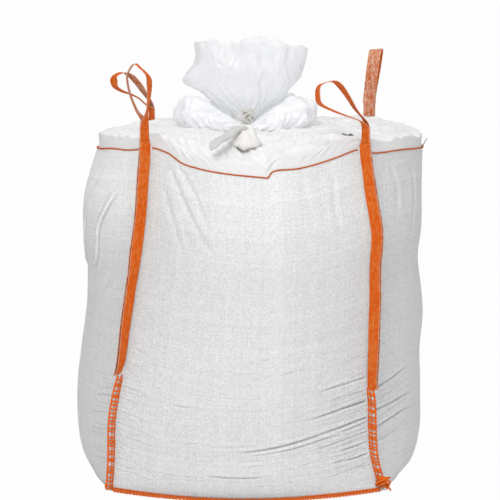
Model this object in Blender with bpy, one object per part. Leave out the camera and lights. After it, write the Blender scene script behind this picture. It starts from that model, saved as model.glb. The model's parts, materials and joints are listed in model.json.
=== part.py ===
"""Bulk bag (flexible intermediate container), filled and standing.

Frame: origin at the centre of the base on the floor, +Z up, front of the bag
towards -Y, +X to the right.  All lengths in metres.

The bag is four woven side panels sewn to each other along four corner seams
and to a square base panel.  Each corner seam stands out as a ridge bound with
an overlock thread, and carries two plies of lifting webbing that rise above
the hem as a loop.  A duffle skirt closes the top, a film liner with a tied
and flared neck holds the bulk contents.

A point on the bag is found by its share of the way from base (0) to hem (1)
and by its place across a panel, -1 at the first corner and 1 at the second.
Rings run counter-clockwise seen from above, from the front left corner.
"""
import math
from collections import namedtuple

import bmesh
import bpy
from mathutils import Vector

UP = Vector((0, 0, 1))

# ------------------------------------------------------------------ sizes
HEIGHT = 1.120             # hem height at the corners
FOOT_LEVEL = .012          # lowest level in the shape tables
GAP = .0003                # clearance between pieces that touch
PANEL_THICK = .0020
LINER_THICK = .0010
CORNER_INSET = 1.05        # an inset counts this much more at a corner
CORNER_CLEAR = .0004       # further corner inset of bodies inside the panels

SEAM_THICK = .0012         # one folded seam allowance in the corner ridge
SEAM_WIDTH = .020          # how far the corner ridge stands out
THREAD_THICK = .0006       # overlock thread wrap
WEB_WIDTH = .050           # lifting webbing
WEB_THICK = .0022
WEB_ROOT = .004            # webbing starts this far outside the corner seam

# distances from the middle plane of a corner ridge
SEAM_FACE = GAP / 2 + SEAM_THICK
WEB_NEAR = SEAM_FACE + GAP + THREAD_THICK + GAP
WEB_FAR = WEB_NEAR + WEB_THICK

RIM = .012                 # base seam allowance outside the side panels
BASE_THICK = .0020
BASE_LIFT_MID = .006       # base rim height at the middle of a side
BASE_LIFT_CORNER = .016    # and at a corner
BASE_CENTRE = .35          # size of the innermost base ring, as part of the base
BASE_FLAT = .85            # part of the base that lies flat on the floor

# Distance of each corner seam from the centre along both X and Y:
# (level, distance)
CORNER_REACH = {
    'front_left': [(.012, .437), (.10, .430), (.24, .424), (.34, .412), (.48, .391),
                   (.63, .373), (.89, .341), (1.12, .307)],
    'front_right': [(.012, .437), (.05, .421), (.11, .405), (.17, .399), (.24, .396),
                    (.50, .392), (.71, .395), (.84, .397), (.92, .388), (1.02, .372),
                    (1.12, .359)],
    'back_right': [(.012, .437), (.10, .424), (.24, .415), (.50, .408), (.75, .408),
                   (1.12, .418)],
    'back_left': [(.012, .437), (.10, .428), (.24, .420), (.50, .394), (.80, .360),
                  (1.12, .313)],
}
# Distance of the middle of each panel from the centre: (level, distance)
BULGE = {
    'front': [(.012, .530), (.05, .562), (.12, .582), (.30, .590), (.45, .583),
              (.60, .572), (.75, .570), (.90, .560), (1.12, .515)],
    'right': [(.012, .535), (.04, .572), (.12, .594), (.22, .597), (.41, .592),
              (.55, .600), (.65, .591), (.74, .581), (.84, .592), (.98, .590),
              (1.12, .589)],
    'back': [(.012, .530), (.05, .562), (.12, .584), (.30, .592), (.50, .586),
             (.75, .578), (.95, .565), (1.12, .540)],
    'left': [(.012, .530), (.066, .563), (.15, .578), (.29, .579), (.43, .563),
             (.57, .542), (.67, .532), (.74, .536), (.82, .543), (.98, .526),
             (1.12, .497)],
}
# How far the middle of each hem hangs below the corners
HEM_DIP = {'front': .052, 'right': .034, 'back': .040, 'left': .034}

# Signs of X and Y at each corner
CORNERS = {'front_left': (-1, -1), 'front_right': (1, -1), 'back_right': (1, 1),
           'back_left': (-1, 1)}
Panel = namedtuple('Panel', 'name start end')
PANELS = [Panel('front', 'front_left', 'front_right'),
          Panel('right', 'front_right', 'back_right'),
          Panel('back', 'back_right', 'back_left'),
          Panel('left', 'back_left', 'front_left')]

COLUMNS = [-.88, -.60, -.30, 0, .30, .60, .88]        # places across a panel
ROWS = [0, .03, .08, .16, .28, .40, .52, .64, .76, .87, .95, 1.0]   # shares
RING_ACROSS = ([-1.0] + COLUMNS) * len(PANELS)        # place of each ring point

# -------------------------------------------------------------- materials
MATERIALS = {
    'woven_white': dict(colour=(.80, .80, .80), roughness=.62),
    'film': dict(colour=(.86, .87, .88), roughness=.25),
    'webbing_orange': dict(colour=(.76, .13, .010), roughness=.60),
    'thread_orange': dict(colour=(.78, .17, .02), roughness=.55),
    'pellets': dict(colour=(.62, .50, .36), roughness=.85),
    'tape_grey': dict(colour=(.55, .54, .53), roughness=.60),
    'tie_white': dict(colour=(.82, .82, .80), roughness=.45),
}


def material(key):
    found = bpy.data.materials.get(key)
    if found:
        return found
    look = MATERIALS[key]
    rgba = (*look['colour'], 1)
    made = bpy.data.materials.new(key)
    made.use_nodes = True
    shader = made.node_tree.nodes['Principled BSDF'].inputs
    shader['Base Color'].default_value = rgba
    shader['Roughness'].default_value = look['roughness']
    shader['Metallic'].default_value = 0
    made.diffuse_color = rgba
    return made


# ---------------------------------------------------------------- objects
def clear_scene():
    for ob in list(bpy.data.objects):
        bpy.data.objects.remove(ob, do_unlink=True)


def make_object(name, bm, key, parent=None):
    """Object from bm with its own copy of a material; a parent pivot becomes
    its origin."""
    bmesh.ops.recalc_face_normals(bm, faces=bm.faces)
    if parent is not None:
        bmesh.ops.translate(bm, verts=bm.verts, vec=-parent.location)
    mesh = bpy.data.meshes.new(name)
    bm.to_mesh(mesh)
    bm.free()
    mesh.shade_smooth()
    mesh.set_sharp_from_angle(angle=math.radians(35))
    own = material(key).copy()
    own.name = key + '_' + name
    mesh.materials.append(own)
    ob = bpy.data.objects.new(name, mesh)
    bpy.context.scene.collection.objects.link(ob)
    ob.parent = parent


def make_pivot(name, place):
    empty = bpy.data.objects.new(name, None)
    empty.location = place
    empty.empty_display_size = .05
    bpy.context.scene.collection.objects.link(empty)
    return empty


# ---------------------------------------------------------------- meshing
def add_grid(bm, rows):
    return [[bm.verts.new(p) for p in row] for row in rows]


def skin(bm, grid, closed):
    """Triangles over a grid of vertices, one fixed diagonal; closed wraps the
    rows round on themselves."""
    count = len(grid[0])
    for low, high in zip(grid, grid[1:]):
        for j in range(count if closed else count - 1):
            k = (j + 1) % count
            bm.faces.new((low[j], low[k], high[k]))
            bm.faces.new((low[j], high[k], high[j]))


def slab(outer, inner, closed=False):
    """Closed body between two grids of points; closed gives a tube."""
    bm = bmesh.new()
    outer, inner = add_grid(bm, outer), add_grid(bm, inner)
    skin(bm, outer, closed)
    skin(bm, inner, closed)
    for i in (0, -1):
        skin(bm, [outer[i], inner[i]], closed)
    if not closed:
        for j in (0, -1):
            skin(bm, [[row[j] for row in outer], [row[j] for row in inner]], False)
    return bm


def bowl(outer, inner):
    """Sheet between two stacks of rings, closed across the first rings and
    open inside the last."""
    bm = bmesh.new()
    outer, inner = add_grid(bm, outer), add_grid(bm, inner)
    skin(bm, outer, True)
    skin(bm, inner, True)
    bm.faces.new(outer[0])
    bm.faces.new(inner[0])
    skin(bm, [outer[-1], inner[-1]], True)
    return bm


def loft(rings):
    """Solid through rings of points, capped at both ends."""
    bm = bmesh.new()
    grid = add_grid(bm, rings)
    skin(bm, grid, True)
    bm.faces.new(grid[0])
    bm.faces.new(grid[-1])
    return bm


def ribbon(rows, half_thick):
    """Flat band along rows of (centre, width direction, normal, half width)."""
    def face(offset):
        return [[centre - width * half + normal * offset,
                 centre + width * half + normal * offset]
                for centre, width, normal, half in rows]
    return slab(face(half_thick), face(-half_thick))


# ----------------------------------------------------------------- curves
def smooth_table(points, x):
    """Smooth curve through (x, y) points, by cubic Hermite spans."""
    if x <= points[0][0]:
        return points[0][1]
    if x >= points[-1][0]:
        return points[-1][1]
    last = len(points) - 1
    i = max(j for j in range(last) if points[j][0] <= x)

    def slope(j):
        before, after = points[max(j - 1, 0)], points[min(j + 1, last)]
        return (after[1] - before[1]) / (after[0] - before[0])
    x0, y0 = points[i]
    x1, y1 = points[i + 1]
    span = x1 - x0
    t = (x - x0) / span
    return ((2*t**3 - 3*t**2 + 1) * y0 + (t**3 - 2*t**2 + t) * span * slope(i)
            + (-2*t**3 + 3*t**2) * y1 + (t**3 - t**2) * span * slope(i + 1))


def catmull_rom(points, steps):
    """Smooth curve through the given points, with steps points to a span."""
    out = []
    padded = [points[0]] + points + [points[-1]]
    for p0, p1, p2, p3 in zip(padded, padded[1:], padded[2:], padded[3:]):
        for step in range(steps):
            t = step / steps
            out.append(.5 * ((2*p1) + (p2 - p0)*t + (2*p0 - 5*p1 + 4*p2 - p3)*t*t
                             + (3*p1 - p0 - 3*p2 + p3)*t**3))
    out.append(points[-1])
    return out


# ------------------------------------------------------------- bag surface
def radial(corner):
    return Vector((*CORNERS[corner], 0)) * math.sqrt(.5)


def tangent(corner):
    """Horizontal direction across the corner, counter-clockwise from above."""
    out = radial(corner)
    return Vector((-out.y, out.x, 0))


def seam_place(corner, share):
    """Place of a corner seam in plan."""
    level = FOOT_LEVEL + share * (HEIGHT - FOOT_LEVEL)
    return Vector((*CORNERS[corner], 0)) * smooth_table(CORNER_REACH[corner], level)


def floor_rise(across):
    """Height of the underside of the base at its edge."""
    return BASE_LIFT_MID + (BASE_LIFT_CORNER - BASE_LIFT_MID) * across * across


def panel_height(dip, across, share):
    low = floor_rise(across) + BASE_THICK + GAP
    high = HEIGHT - dip * (1 - across * across)
    return low + (high - low) * share


def corner_point(corner, share, out=0.0):
    point = seam_place(corner, share)
    point.z = panel_height(0, 1, share)
    return point + radial(corner) * out


def panel_point(panel, across, share, inset=0.0):
    """Point on one side panel; inset moves it into the bag."""
    start, end = seam_place(panel.start, share), seam_place(panel.end, share)
    middle, half = (start + end) / 2, (end - start) / 2
    reach = half.length
    along = half / reach
    outward = Vector((along.y, -along.x, 0))
    level = FOOT_LEVEL + share * (HEIGHT - FOOT_LEVEL)
    bulge = smooth_table(BULGE[panel.name], level) - middle.dot(outward)
    point = middle + along * (reach * across) + outward * (bulge * (1 - across * across))
    normal = (along * (2 * bulge * across) + outward * reach).normalized()
    point -= normal * inset
    point.z = panel_height(HEM_DIP[panel.name], across, share)
    return point


def varied_ring(share, corner_inset, panel_inset, rise=0.0):
    """Ring raised by rise; panel_inset gives the inset at each place across."""
    out = []
    for panel in PANELS:
        out.append(corner_point(panel.start, share, -corner_inset) + UP * rise)
        out += [panel_point(panel, across, share, panel_inset(across)) + UP * rise
                for across in COLUMNS]
    return out


def ring(share, inset=0.0, rise=0.0):
    clear = CORNER_CLEAR if inset > PANEL_THICK else 0
    return varied_ring(share, CORNER_INSET * inset + clear, lambda across: inset, rise)


def at_height(point, z):
    return Vector((point.x, point.y, z))


def shrink(points, factor, z):
    return [Vector((p.x * factor, p.y * factor, z)) for p in points]


def follow_floor(points, extra):
    """A ring set at the base edge height plus extra."""
    return [at_height(p, floor_rise(across) + extra)
            for p, across in zip(points, RING_ACROSS)]


def circle(like, radius, z):
    """Circle with a point in the direction of each point of like."""
    angles = [math.atan2(p.y, p.x) for p in like]
    return [Vector((radius * math.cos(a), radius * math.sin(a), z)) for a in angles]


def floor_rings(edge, up):
    """Rings over the base from its middle to its edge."""
    return [shrink(edge, BASE_CENTRE, up), shrink(edge, BASE_FLAT, up),
            follow_floor(edge, up)]


def inside_rings(inset, lift):
    """Rings of the inner bodies from the base up to the hem."""
    return (floor_rings(ring(0, inset), BASE_THICK + lift)
            + [ring(share, inset) for share in ROWS[1:]])


# ---------------------------------------------------- side and base panels
def seam_allowance(corner, way, share):
    """Tip and root of the corner ridge on one side: outer and inner points."""
    near = tangent(corner) * way * (GAP / 2)
    far = tangent(corner) * way * SEAM_FACE
    tip = corner_point(corner, share, SEAM_WIDTH)
    outer_root = corner_point(corner, share)
    inner_root = corner_point(corner, share, -CORNER_INSET * PANEL_THICK)
    return [tip + far, outer_root + far], [tip + near, inner_root + near]


def side_panel(panel):
    outer, inner = [], []
    for share in ROWS:
        start_outer, start_inner = seam_allowance(panel.start, 1, share)
        end_outer, end_inner = seam_allowance(panel.end, -1, share)
        outer.append(start_outer + [panel_point(panel, across, share) for across in COLUMNS]
                     + end_outer[::-1])
        inner.append(start_inner
                     + [panel_point(panel, across, share, PANEL_THICK) for across in COLUMNS]
                     + end_inner[::-1])
    make_object('side_panel_' + panel.name, slab(outer, inner), 'woven_white')


def base_panel():
    def face(up):
        return floor_rings(ring(0), up) + [follow_floor(ring(0, -RIM), up)]
    make_object('base_panel', bowl(face(0), face(BASE_THICK)), 'woven_white')


# ----------------------------------------------------------- contents, film
FILL_INSET = PANEL_THICK + GAP + LINER_THICK + GAP
FILL_TOP = [(.93, 1.072), (.70, 1.105), (.40, 1.125)]   # (part of the hem ring, height)

# Liner above the hem.  The last column or two of each table say what part of
# the film thickness comes off on the inner face.
LINER_FOLD = [(.020, .012), (.040, .040)]               # (rise above hem, inset)
LINER_FOLD_CORNER = .012                                # extra inset at a corner
LINER_FOLD_PANEL = .004                                 # extra inset on a panel
# (part of the last fold ring, weight of that ring's height, flat height, off height)
LINER_COVER = [(.80, .50, 1.160, 0), (.62, .15, 1.166, 1)]
LINER_COVER_DROP = .012
# (radius, height, off radius, off height)
LINER_NECK_BASE = [
    (.185, 1.1630, 1, 1), (.186, 1.1860, 1, 0), (.214, 1.2000, 1, 0), (.188, 1.2170, 1, 1),
    (.120, 1.2110, 0, 1), (.070, 1.1890, 0, 1), (.043, 1.1790, 0, 1), (.036, 1.1785, 1, 1),
    (.036, 1.1920, 1, 0),
]

NECK_PIVOT_Z = 1.196       # where the liner neck folds over
NECK_SIDES = 24
# (height above the pivot, X radius, Y radius, unevenness of height); the cut
# edge of the film runs unevenly
NECK_PROFILE = [
    (0, .016, .016, 0), (.012, .026, .024, 0), (.030, .062, .044, 0),
    (.050, .104, .062, 0), (.085, .140, .080, 0), (.130, .172, .096, 0),
    (.185, .200, .112, .004), (.226, .207, .118, .010), (.248, .208, .118, .020),
]
NECK_WAVE_PHASE = 2.2

TIE_SIDES = 28
# Section of the tie: (radius, height)
TIE_SECTION = [(.0366, 1.1815), (.0396, 1.1815), (.0406, 1.1845), (.0396, 1.1875),
               (.0366, 1.1875)]


def bulk_fill():
    rings = inside_rings(FILL_INSET, 2 * GAP + LINER_THICK)[:-1]
    top = ring(1, FILL_INSET)
    rings += [shrink(top, factor, z) for factor, z in FILL_TOP]
    make_object('bulk_fill', loft(rings), 'pellets')


def liner_face(thick):
    """Rings of one face of the liner, thick inside its outer face."""
    rings = inside_rings(PANEL_THICK + GAP + thick, GAP + thick)
    for rise, inset in LINER_FOLD:
        rings.append(varied_ring(1, CORNER_INSET * inset + LINER_FOLD_CORNER + thick,
                                 lambda across: inset + LINER_FOLD_PANEL + thick,
                                 rise - thick))
    edge = rings[-1]
    for factor, weight, flat, off in LINER_COVER:
        drop = LINER_COVER_DROP + off * thick
        rings.append([Vector((p.x * factor, p.y * factor,
                              weight * p.z + (1 - weight) * flat - drop)) for p in edge])
    for radius, z, off_radius, off_height in LINER_NECK_BASE:
        rings.append(circle(edge, radius - off_radius * thick, z - off_height * thick))
    return rings


def inner_liner():
    make_object('inner_liner', bowl(liner_face(0), liner_face(LINER_THICK)), 'film')


def liner_neck():
    angles = [2 * math.pi * j / NECK_SIDES for j in range(NECK_SIDES)]

    def face(thick):
        return [[Vector(((radius_x - thick) * math.cos(a), (radius_y - thick) * math.sin(a),
                         NECK_PIVOT_Z + rise + wave * math.sin(a + NECK_WAVE_PHASE)))
                 for a in angles]
                for rise, radius_x, radius_y, wave in NECK_PROFILE]
    pivot = make_pivot('liner_neck_pivot', (0, 0, NECK_PIVOT_Z))
    make_object('liner_neck', slab(face(0), face(LINER_THICK), closed=True), 'film', pivot)


def liner_tie():
    angles = [2 * math.pi * j / TIE_SIDES for j in range(TIE_SIDES)]
    bm = bmesh.new()
    grid = add_grid(bm, [[(radius * math.cos(a), radius * math.sin(a), z) for a in angles]
                         for radius, z in TIE_SECTION])
    skin(bm, grid + [grid[0]], True)
    make_object('liner_tie', bm, 'tie_white')


# ------------------------------------------------------------ duffle skirt
# (rise above hem, inset at mid panel, inset at corner, part of the thickness
# the under side is lowered)
SKIRT_FOLD = [(.028, .001, .006, 0), (.050, .010, .020, 1), (.058, .034, .045, 1)]
# (part of the last fold ring, weight of that ring's height, flat height)
SKIRT_COVER = [(.84, .45, 1.168), (.70, .12, 1.172), (.58, .0, 1.176)]
SKIRT_MOUTH_RADIUS = .205
SKIRT_MOUTH_Z = 1.179


def skirt_face(thick):
    """Rings of one face of the skirt, thick below its upper face."""
    rings = [ring(1, thick, GAP)]
    for rise, middle, corner, lowered in SKIRT_FOLD:
        rings.append(varied_ring(
            1, corner + thick,
            lambda across: middle + (corner - middle) * across ** 4 + thick,
            rise - lowered * thick))
    edge = rings[-1]
    for factor, weight, flat in SKIRT_COVER:
        rings.append([Vector((p.x * factor, p.y * factor,
                              weight * (p.z + thick) + (1 - weight) * flat - thick))
                      for p in edge])
    rings.append(circle(edge, SKIRT_MOUTH_RADIUS, SKIRT_MOUTH_Z - thick))
    return rings


def duffle_skirt():
    make_object('duffle_skirt', slab(skirt_face(0), skirt_face(PANEL_THICK), closed=True),
                'woven_white')


# ------------------------------------------------------- overlock and hem
OVERLOCK_ROOT = .005       # corner thread starts this far outside the seam
OVERLOCK_FOOT = .0007      # and this far above the foot of the seam
OVERLOCK_TOP = .001        # and stops this far below the hem
BASE_THREAD_ROOT = .003    # base thread starts this far outside the panels
ROW_CLEAR = .004           # panel rows closer than this to an end are skipped
HEM_STITCH_EDGES = (.70, .735)   # share of the way between the top two rows
HEM_STITCH_OUT = (.0018, .0009)  # outer and inner face, outside the panel


def seam_at(corner, z):
    """Point of a corner seam at one height; it runs on straight past the hem."""
    points = [corner_point(corner, share) for share in ROWS]
    spans = list(zip(points, points[1:]))
    low, high = next((span for span in spans if z <= span[1].z), spans[-1])
    return low.lerp(high, (z - low.z) / (high.z - low.z))


def seam_rows(corner, z_from, z_to):
    """Seam points at two heights and at the panel rows between them."""
    heights = [corner_point(corner, share).z for share in ROWS]
    between = [z for z in heights if z_from + ROW_CLEAR < z < z_to - ROW_CLEAR]
    return [seam_at(corner, z) for z in [z_from] + between + [z_to]]


def corner_overlock(corner):
    out, side = radial(corner), tangent(corner)
    points = seam_rows(corner, corner_point(corner, 0).z + OVERLOCK_FOOT,
                       corner_point(corner, 1).z - OVERLOCK_TOP)

    def wrap(clear):
        root, tip = out * OVERLOCK_ROOT, out * (SEAM_WIDTH + clear)
        half = side * (SEAM_FACE + clear)
        return [[p + root - half, p + tip - half, p + tip + half, p + root + half]
                for p in points]
    make_object('corner_overlock_' + corner, slab(wrap(GAP + THREAD_THICK), wrap(GAP)),
                'thread_orange')


def base_overlock(index, panel):
    first = index * (len(COLUMNS) + 1) + 1
    root = ring(0, -BASE_THREAD_ROOT)

    def wrap(clear):
        rim = ring(0, -RIM - clear)
        rows = []
        for i in range(first, first + len(COLUMNS)):
            bottom = floor_rise(RING_ACROSS[i]) - clear
            top = floor_rise(RING_ACROSS[i]) + BASE_THICK + clear
            rows.append([at_height(root[i], top), at_height(rim[i], top),
                         at_height(rim[i], bottom), at_height(root[i], bottom)])
        return rows
    make_object('base_overlock_' + panel.name, slab(wrap(GAP + THREAD_THICK), wrap(GAP)),
                'thread_orange')


def hem_stitch(panel):
    def face(out):
        low, high = [[panel_point(panel, across, share, -out) for across in COLUMNS]
                     for share in ROWS[-2:]]
        return [[a.lerp(b, edge) for a, b in zip(low, high)] for edge in HEM_STITCH_EDGES]
    outer, inner = HEM_STITCH_OUT
    make_object('hem_stitch_' + panel.name, slab(face(outer), face(inner)), 'thread_orange')


# --------------------------------------------------------- lifting webbing
# Height of the foot of the webbing on each corner seam
STRAP_END = {'front_left': .389, 'front_right': .346, 'back_right': .362,
             'back_left': .372}
STRAP_SLANT = {-1: .022, 1: .002}   # rise of the foot's inner edge, by the sign of X
STRAP_FOOT_ROW = .022               # start level for picking rows above the foot
STRAP_OVERRUN = .001                # webbing passes the hem by this much

STITCH_FOOT = .030                  # thread above the foot of the webbing
STITCH_TOP = .020                   # thread below the hem
STITCH_MARGIN = .004                # thread from the webbing's edges
STITCH_HALF = .0005                 # half width of the thread line
STITCH_THICK = .0005


def strap_ply(corner, tag, way):
    out, side = radial(corner), tangent(corner) * way
    end = STRAP_END[corner]
    foot = seam_at(corner, end)
    above = seam_rows(corner, end + STRAP_FOOT_ROW,
                      corner_point(corner, 1).z + STRAP_OVERRUN)[1:]
    rows = [(foot + UP * STRAP_SLANT[CORNERS[corner][0]], foot)] + [(p, p) for p in above]

    def face(offset):
        return [[root + out * WEB_ROOT + side * offset,
                 tip + out * (WEB_ROOT + WEB_WIDTH) + side * offset] for root, tip in rows]
    make_object('strap_%s_%s' % (corner, tag), slab(face(WEB_FAR), face(WEB_NEAR)),
                'webbing_orange')


def strap_stitching(corner):
    """Sewing thread that runs down the outer edge of the webbing, across its
    foot and up the inner edge, on the face towards the front or back panel."""
    way = 1 if corner in ('front_left', 'back_right') else -1
    out, side = radial(corner), tangent(corner) * way
    foot, *above = seam_rows(corner, STRAP_END[corner] + STITCH_FOOT,
                             corner_point(corner, 1).z - STITCH_TOP)
    inner_edge = WEB_ROOT + STITCH_MARGIN
    outer_edge = WEB_ROOT + WEB_WIDTH - STITCH_MARGIN
    half, rise = STITCH_HALF, UP * STITCH_HALF
    line = [(p + out * (outer_edge + half), p + out * (outer_edge - half))
            for p in reversed(above)]
    line.append((foot + out * (outer_edge + half) - rise,
                 foot + out * (outer_edge - half) + rise))
    line.append((foot + out * (inner_edge - half) - rise,
                 foot + out * (inner_edge + half) + rise))
    line += [(p + out * (inner_edge - half), p + out * (inner_edge + half)) for p in above]

    def face(offset):
        return [[a + side * offset, b + side * offset] for a, b in line]
    near = WEB_FAR + GAP
    make_object('strap_stitching_' + corner, slab(face(near + STITCH_THICK), face(near)),
                'thread_orange')


# ----------------------------------------------------------- lifting loops
FLOP_RISE = .004           # sideways hinge above the hem
SWING_RISE = .062          # in-and-out hinge above the hem
NECK_TWIST = .45           # part of the twist taken below the swing hinge
TWIST_RISE = .085          # height above the swing hinge where the twist is complete
NECK_CLEAR = .0008         # between the neck and the rounded foot of the eye
NECK_SPANS = 4
EYE_STEPS = 2              # curve points to each span of the centre line
EYE_FOOT = [-.0240, -.0205, -.0140, 0.0]   # heights of the rounded foot's rows

# Each loop lies in its own upright plane.  plane is the plane's direction in
# degrees from +X; line is the centre line from the swing hinge up round the
# eye and back: (along the plane, up).
LOOPS = {
    'front_left': dict(plane=-22, line=[
        (-.004, .030), (-.044, .107), (-.062, .160), (-.058, .187), (-.031, .207),
        (.010, .186), (.021, .150), (.013, .105), (.007, .060), (.003, .030)]),
    'front_right': dict(plane=10, line=[
        (-.012, .024), (-.034, .036), (-.094, .057), (-.147, .083), (-.157, .110),
        (-.154, .138), (-.137, .150), (-.105, .155), (-.082, .137), (-.059, .105),
        (-.033, .068), (-.003, .034)]),
    'back_right': dict(plane=80, line=[
        (-.005, .030), (-.030, .095), (-.043, .155), (-.036, .200), (0, .216),
        (.036, .200), (.043, .155), (.030, .095), (.005, .030)]),
    'back_left': dict(plane=8, line=[
        (-.024, .020), (-.048, .040), (-.080, .056), (-.108, .067), (-.129, .084),
        (-.133, .105), (-.124, .124), (-.098, .131), (-.066, .114), (-.036, .080),
        (-.006, .032)]),
}


def turn(vector, angle):
    """A horizontal vector turned about Z."""
    c, s = math.cos(angle), math.sin(angle)
    return Vector((vector.x*c - vector.y*s, vector.x*s + vector.y*c, 0))


def loop_frame(corner):
    """Middle of the webbing at the hem, the direction of the loop's plane,
    and the angle the webbing twists through from the seam to the eye."""
    hem = corner_point(corner, 1, WEB_ROOT + WEB_WIDTH / 2)
    start = radial(corner)
    plane = math.radians(LOOPS[corner]['plane'])
    along = Vector((math.cos(plane), math.sin(plane), 0))
    end = Vector((-along.y, along.x, 0))
    if end.dot(start) < 0:
        end = -end
    twist = math.atan2(start.x*end.y - start.y*end.x, start.dot(end))
    return hem, along, twist


def loop_neck(corner):
    """Both plies of webbing together, from the hem to below the swing hinge."""
    hem, _, twist = loop_frame(corner)
    flop = hem + UP * FLOP_RISE
    top = SWING_RISE - FLOP_RISE - WEB_WIDTH / 2 - NECK_CLEAR
    rows = []
    for i in range(NECK_SPANS + 1):
        part = i / NECK_SPANS
        width = turn(radial(corner), twist * NECK_TWIST * part)
        rows.append((flop + UP * (top * part), width, width.cross(UP), WEB_WIDTH / 2))
    pivot = make_pivot('loop_flop_pivot_' + corner, flop)
    make_object('loop_neck_' + corner, ribbon(rows, WEB_THICK + GAP / 2), 'webbing_orange',
                pivot)


def lift_loop(corner):
    """One length of webbing from the swing hinge up, round and back, its two
    ends rounded about the hinge."""
    hem, along, twist = loop_frame(corner)
    swing = hem + UP * SWING_RISE
    ply = WEB_THICK / 2 + GAP / 2
    low_width = turn(radial(corner), twist * NECK_TWIST)
    low_normal = low_width.cross(UP)
    side = 1 if low_normal.dot(along) > 0 else -1

    def foot(way, facing):
        return [(swing + UP * z + low_normal * (way * ply), low_width, low_normal * facing,
                 math.sqrt((WEB_WIDTH / 2)**2 - z*z)) for z in EYE_FOOT]

    # in the curve, x runs along the plane and y is height
    curve = catmull_rom([Vector((x, z, 0)) for x, z in LOOPS[corner]['line']], EYE_STEPS)
    ends = [Vector((-ply, 0, 0))] + curve + [Vector((ply, 0, 0))]
    eye = []
    for before, p, after in zip(ends, curve, ends[2:]):
        step = (after - before).normalized()
        heading = along * step.x + UP * step.y
        part = min(1, NECK_TWIST + (1 - NECK_TWIST) * p.y / TWIST_RISE)
        width = turn(radial(corner), twist * part)
        width = (width - heading * width.dot(heading)).normalized()
        normal = width.cross(heading).normalized()
        eye.append((swing + along * p.x + UP * p.y, width, normal, WEB_WIDTH / 2))
    # the second end faces the other way, as the webbing has turned over
    rows = foot(-side, 1) + eye + foot(side, -1)[::-1]
    pivot = make_pivot('loop_swing_pivot_' + corner, swing)
    make_object('lift_loop_' + corner, ribbon(rows, WEB_THICK / 2), 'webbing_orange', pivot)


# ------------------------------------------------------------- small parts
TAPE_PLACE = Vector((-.008, -.330, 1.180))     # sewn end
TAPE_REACH = Vector((-.096, -.115, -.034))     # from there to the free end
TAPE_START = .004          # tape begins this far from its pivot
TAPE_SPANS = 8
TAPE_HALF_WIDTH = .016
TAPE_HALF_THICK = .0030
TAPE_LIFT = .002           # centre line above the pivot line
TAPE_BOW = .010            # further lift at the middle
TAPE_ROUND_FROM = .85      # part of the length where the end starts to round
TAPE_ROUND = .16           # length of the rounding, as part of the length

TAIL_RADIUS = .0011
TAIL_SIDES = 6
TAIL_SIDEWAYS = Vector((.2, .5, 1))            # sets how the section is turned
SEAM_TAIL = [(0, 0, .006), (.006, -.004, .012), (.012, -.003, .010), (.015, .002, .004)]
SEAM_TAIL_CLEAR = .0022    # outside the tip of the corner ridge
HEM_TAIL = [(0, 0, -.004), (.004, -.004, .008), (.010, -.012, .020), (.012, -.020, .030)]
HEM_TAIL_CLEAR = .0026     # outside the panel


def tie_tape():
    """Tape lying on the skirt, with its free end forward and to the left."""
    along = TAPE_REACH.normalized()
    width = Vector((-along.y, along.x, 0)).normalized()
    normal = along.cross(width).normalized()
    rows = []
    for i in range(TAPE_SPANS + 1):
        part = i / TAPE_SPANS
        distance = TAPE_START + (TAPE_REACH.length - TAPE_START) * part
        lift = TAPE_BOW * math.sin(math.pi * part) + TAPE_LIFT
        rounding = max(part - TAPE_ROUND_FROM, 0) / TAPE_ROUND
        rows.append((TAPE_PLACE + along * distance + normal * lift, width, normal,
                     TAPE_HALF_WIDTH * math.sqrt(1 - rounding**2)))
    pivot = make_pivot('tie_tape_pivot', TAPE_PLACE)
    make_object('skirt_tie_tape', ribbon(rows, TAPE_HALF_THICK), 'tape_grey', pivot)


def thread_tail(name, start, points):
    """Loose thread end through points given from start."""
    path = [start + Vector(p) for p in points]
    angles = [2 * math.pi * k / TAIL_SIDES for k in range(TAIL_SIDES)]
    rings = []
    for before, p, after in zip(path[:1] + path, path, path[1:] + path[-1:]):
        heading = (after - before).normalized()
        first = heading.cross(TAIL_SIDEWAYS).normalized()
        second = heading.cross(first)
        rings.append([p + (first * math.cos(a) + second * math.sin(a)) * TAIL_RADIUS
                      for a in angles])
    make_object(name, loft(rings), 'thread_orange')


def main():
    clear_scene()
    for panel in PANELS:
        side_panel(panel)
    base_panel()
    bulk_fill()
    inner_liner()
    liner_tie()
    liner_neck()
    duffle_skirt()
    for corner in CORNERS:
        corner_overlock(corner)
        strap_ply(corner, 'ply_a', 1)
        strap_ply(corner, 'ply_b', -1)
        strap_stitching(corner)
        loop_neck(corner)
        lift_loop(corner)
    for index, panel in enumerate(PANELS):
        base_overlock(index, panel)
        hem_stitch(panel)
    tie_tape()
    thread_tail('seam_thread_tail',
                corner_point('front_right', 0, SEAM_WIDTH + SEAM_TAIL_CLEAR), SEAM_TAIL)
    thread_tail('hem_thread_tail', panel_point(PANELS[1], 0, 1, -HEM_TAIL_CLEAR), HEM_TAIL)


main()
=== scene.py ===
"""Bulk bag: four bulging woven panels with standing corner seams, webbing lift loops, and a
film liner gathered through the skirt on top.

Metres. The bag stands on z = 0 round the z axis; front is -y, right is +x. On a panel, u runs
from -1 at its left seam to 1 at its right seam as seen from outside, and v from 0 at the foot
to 1 at the hem.
"""
import itertools
import json
import math

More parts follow.
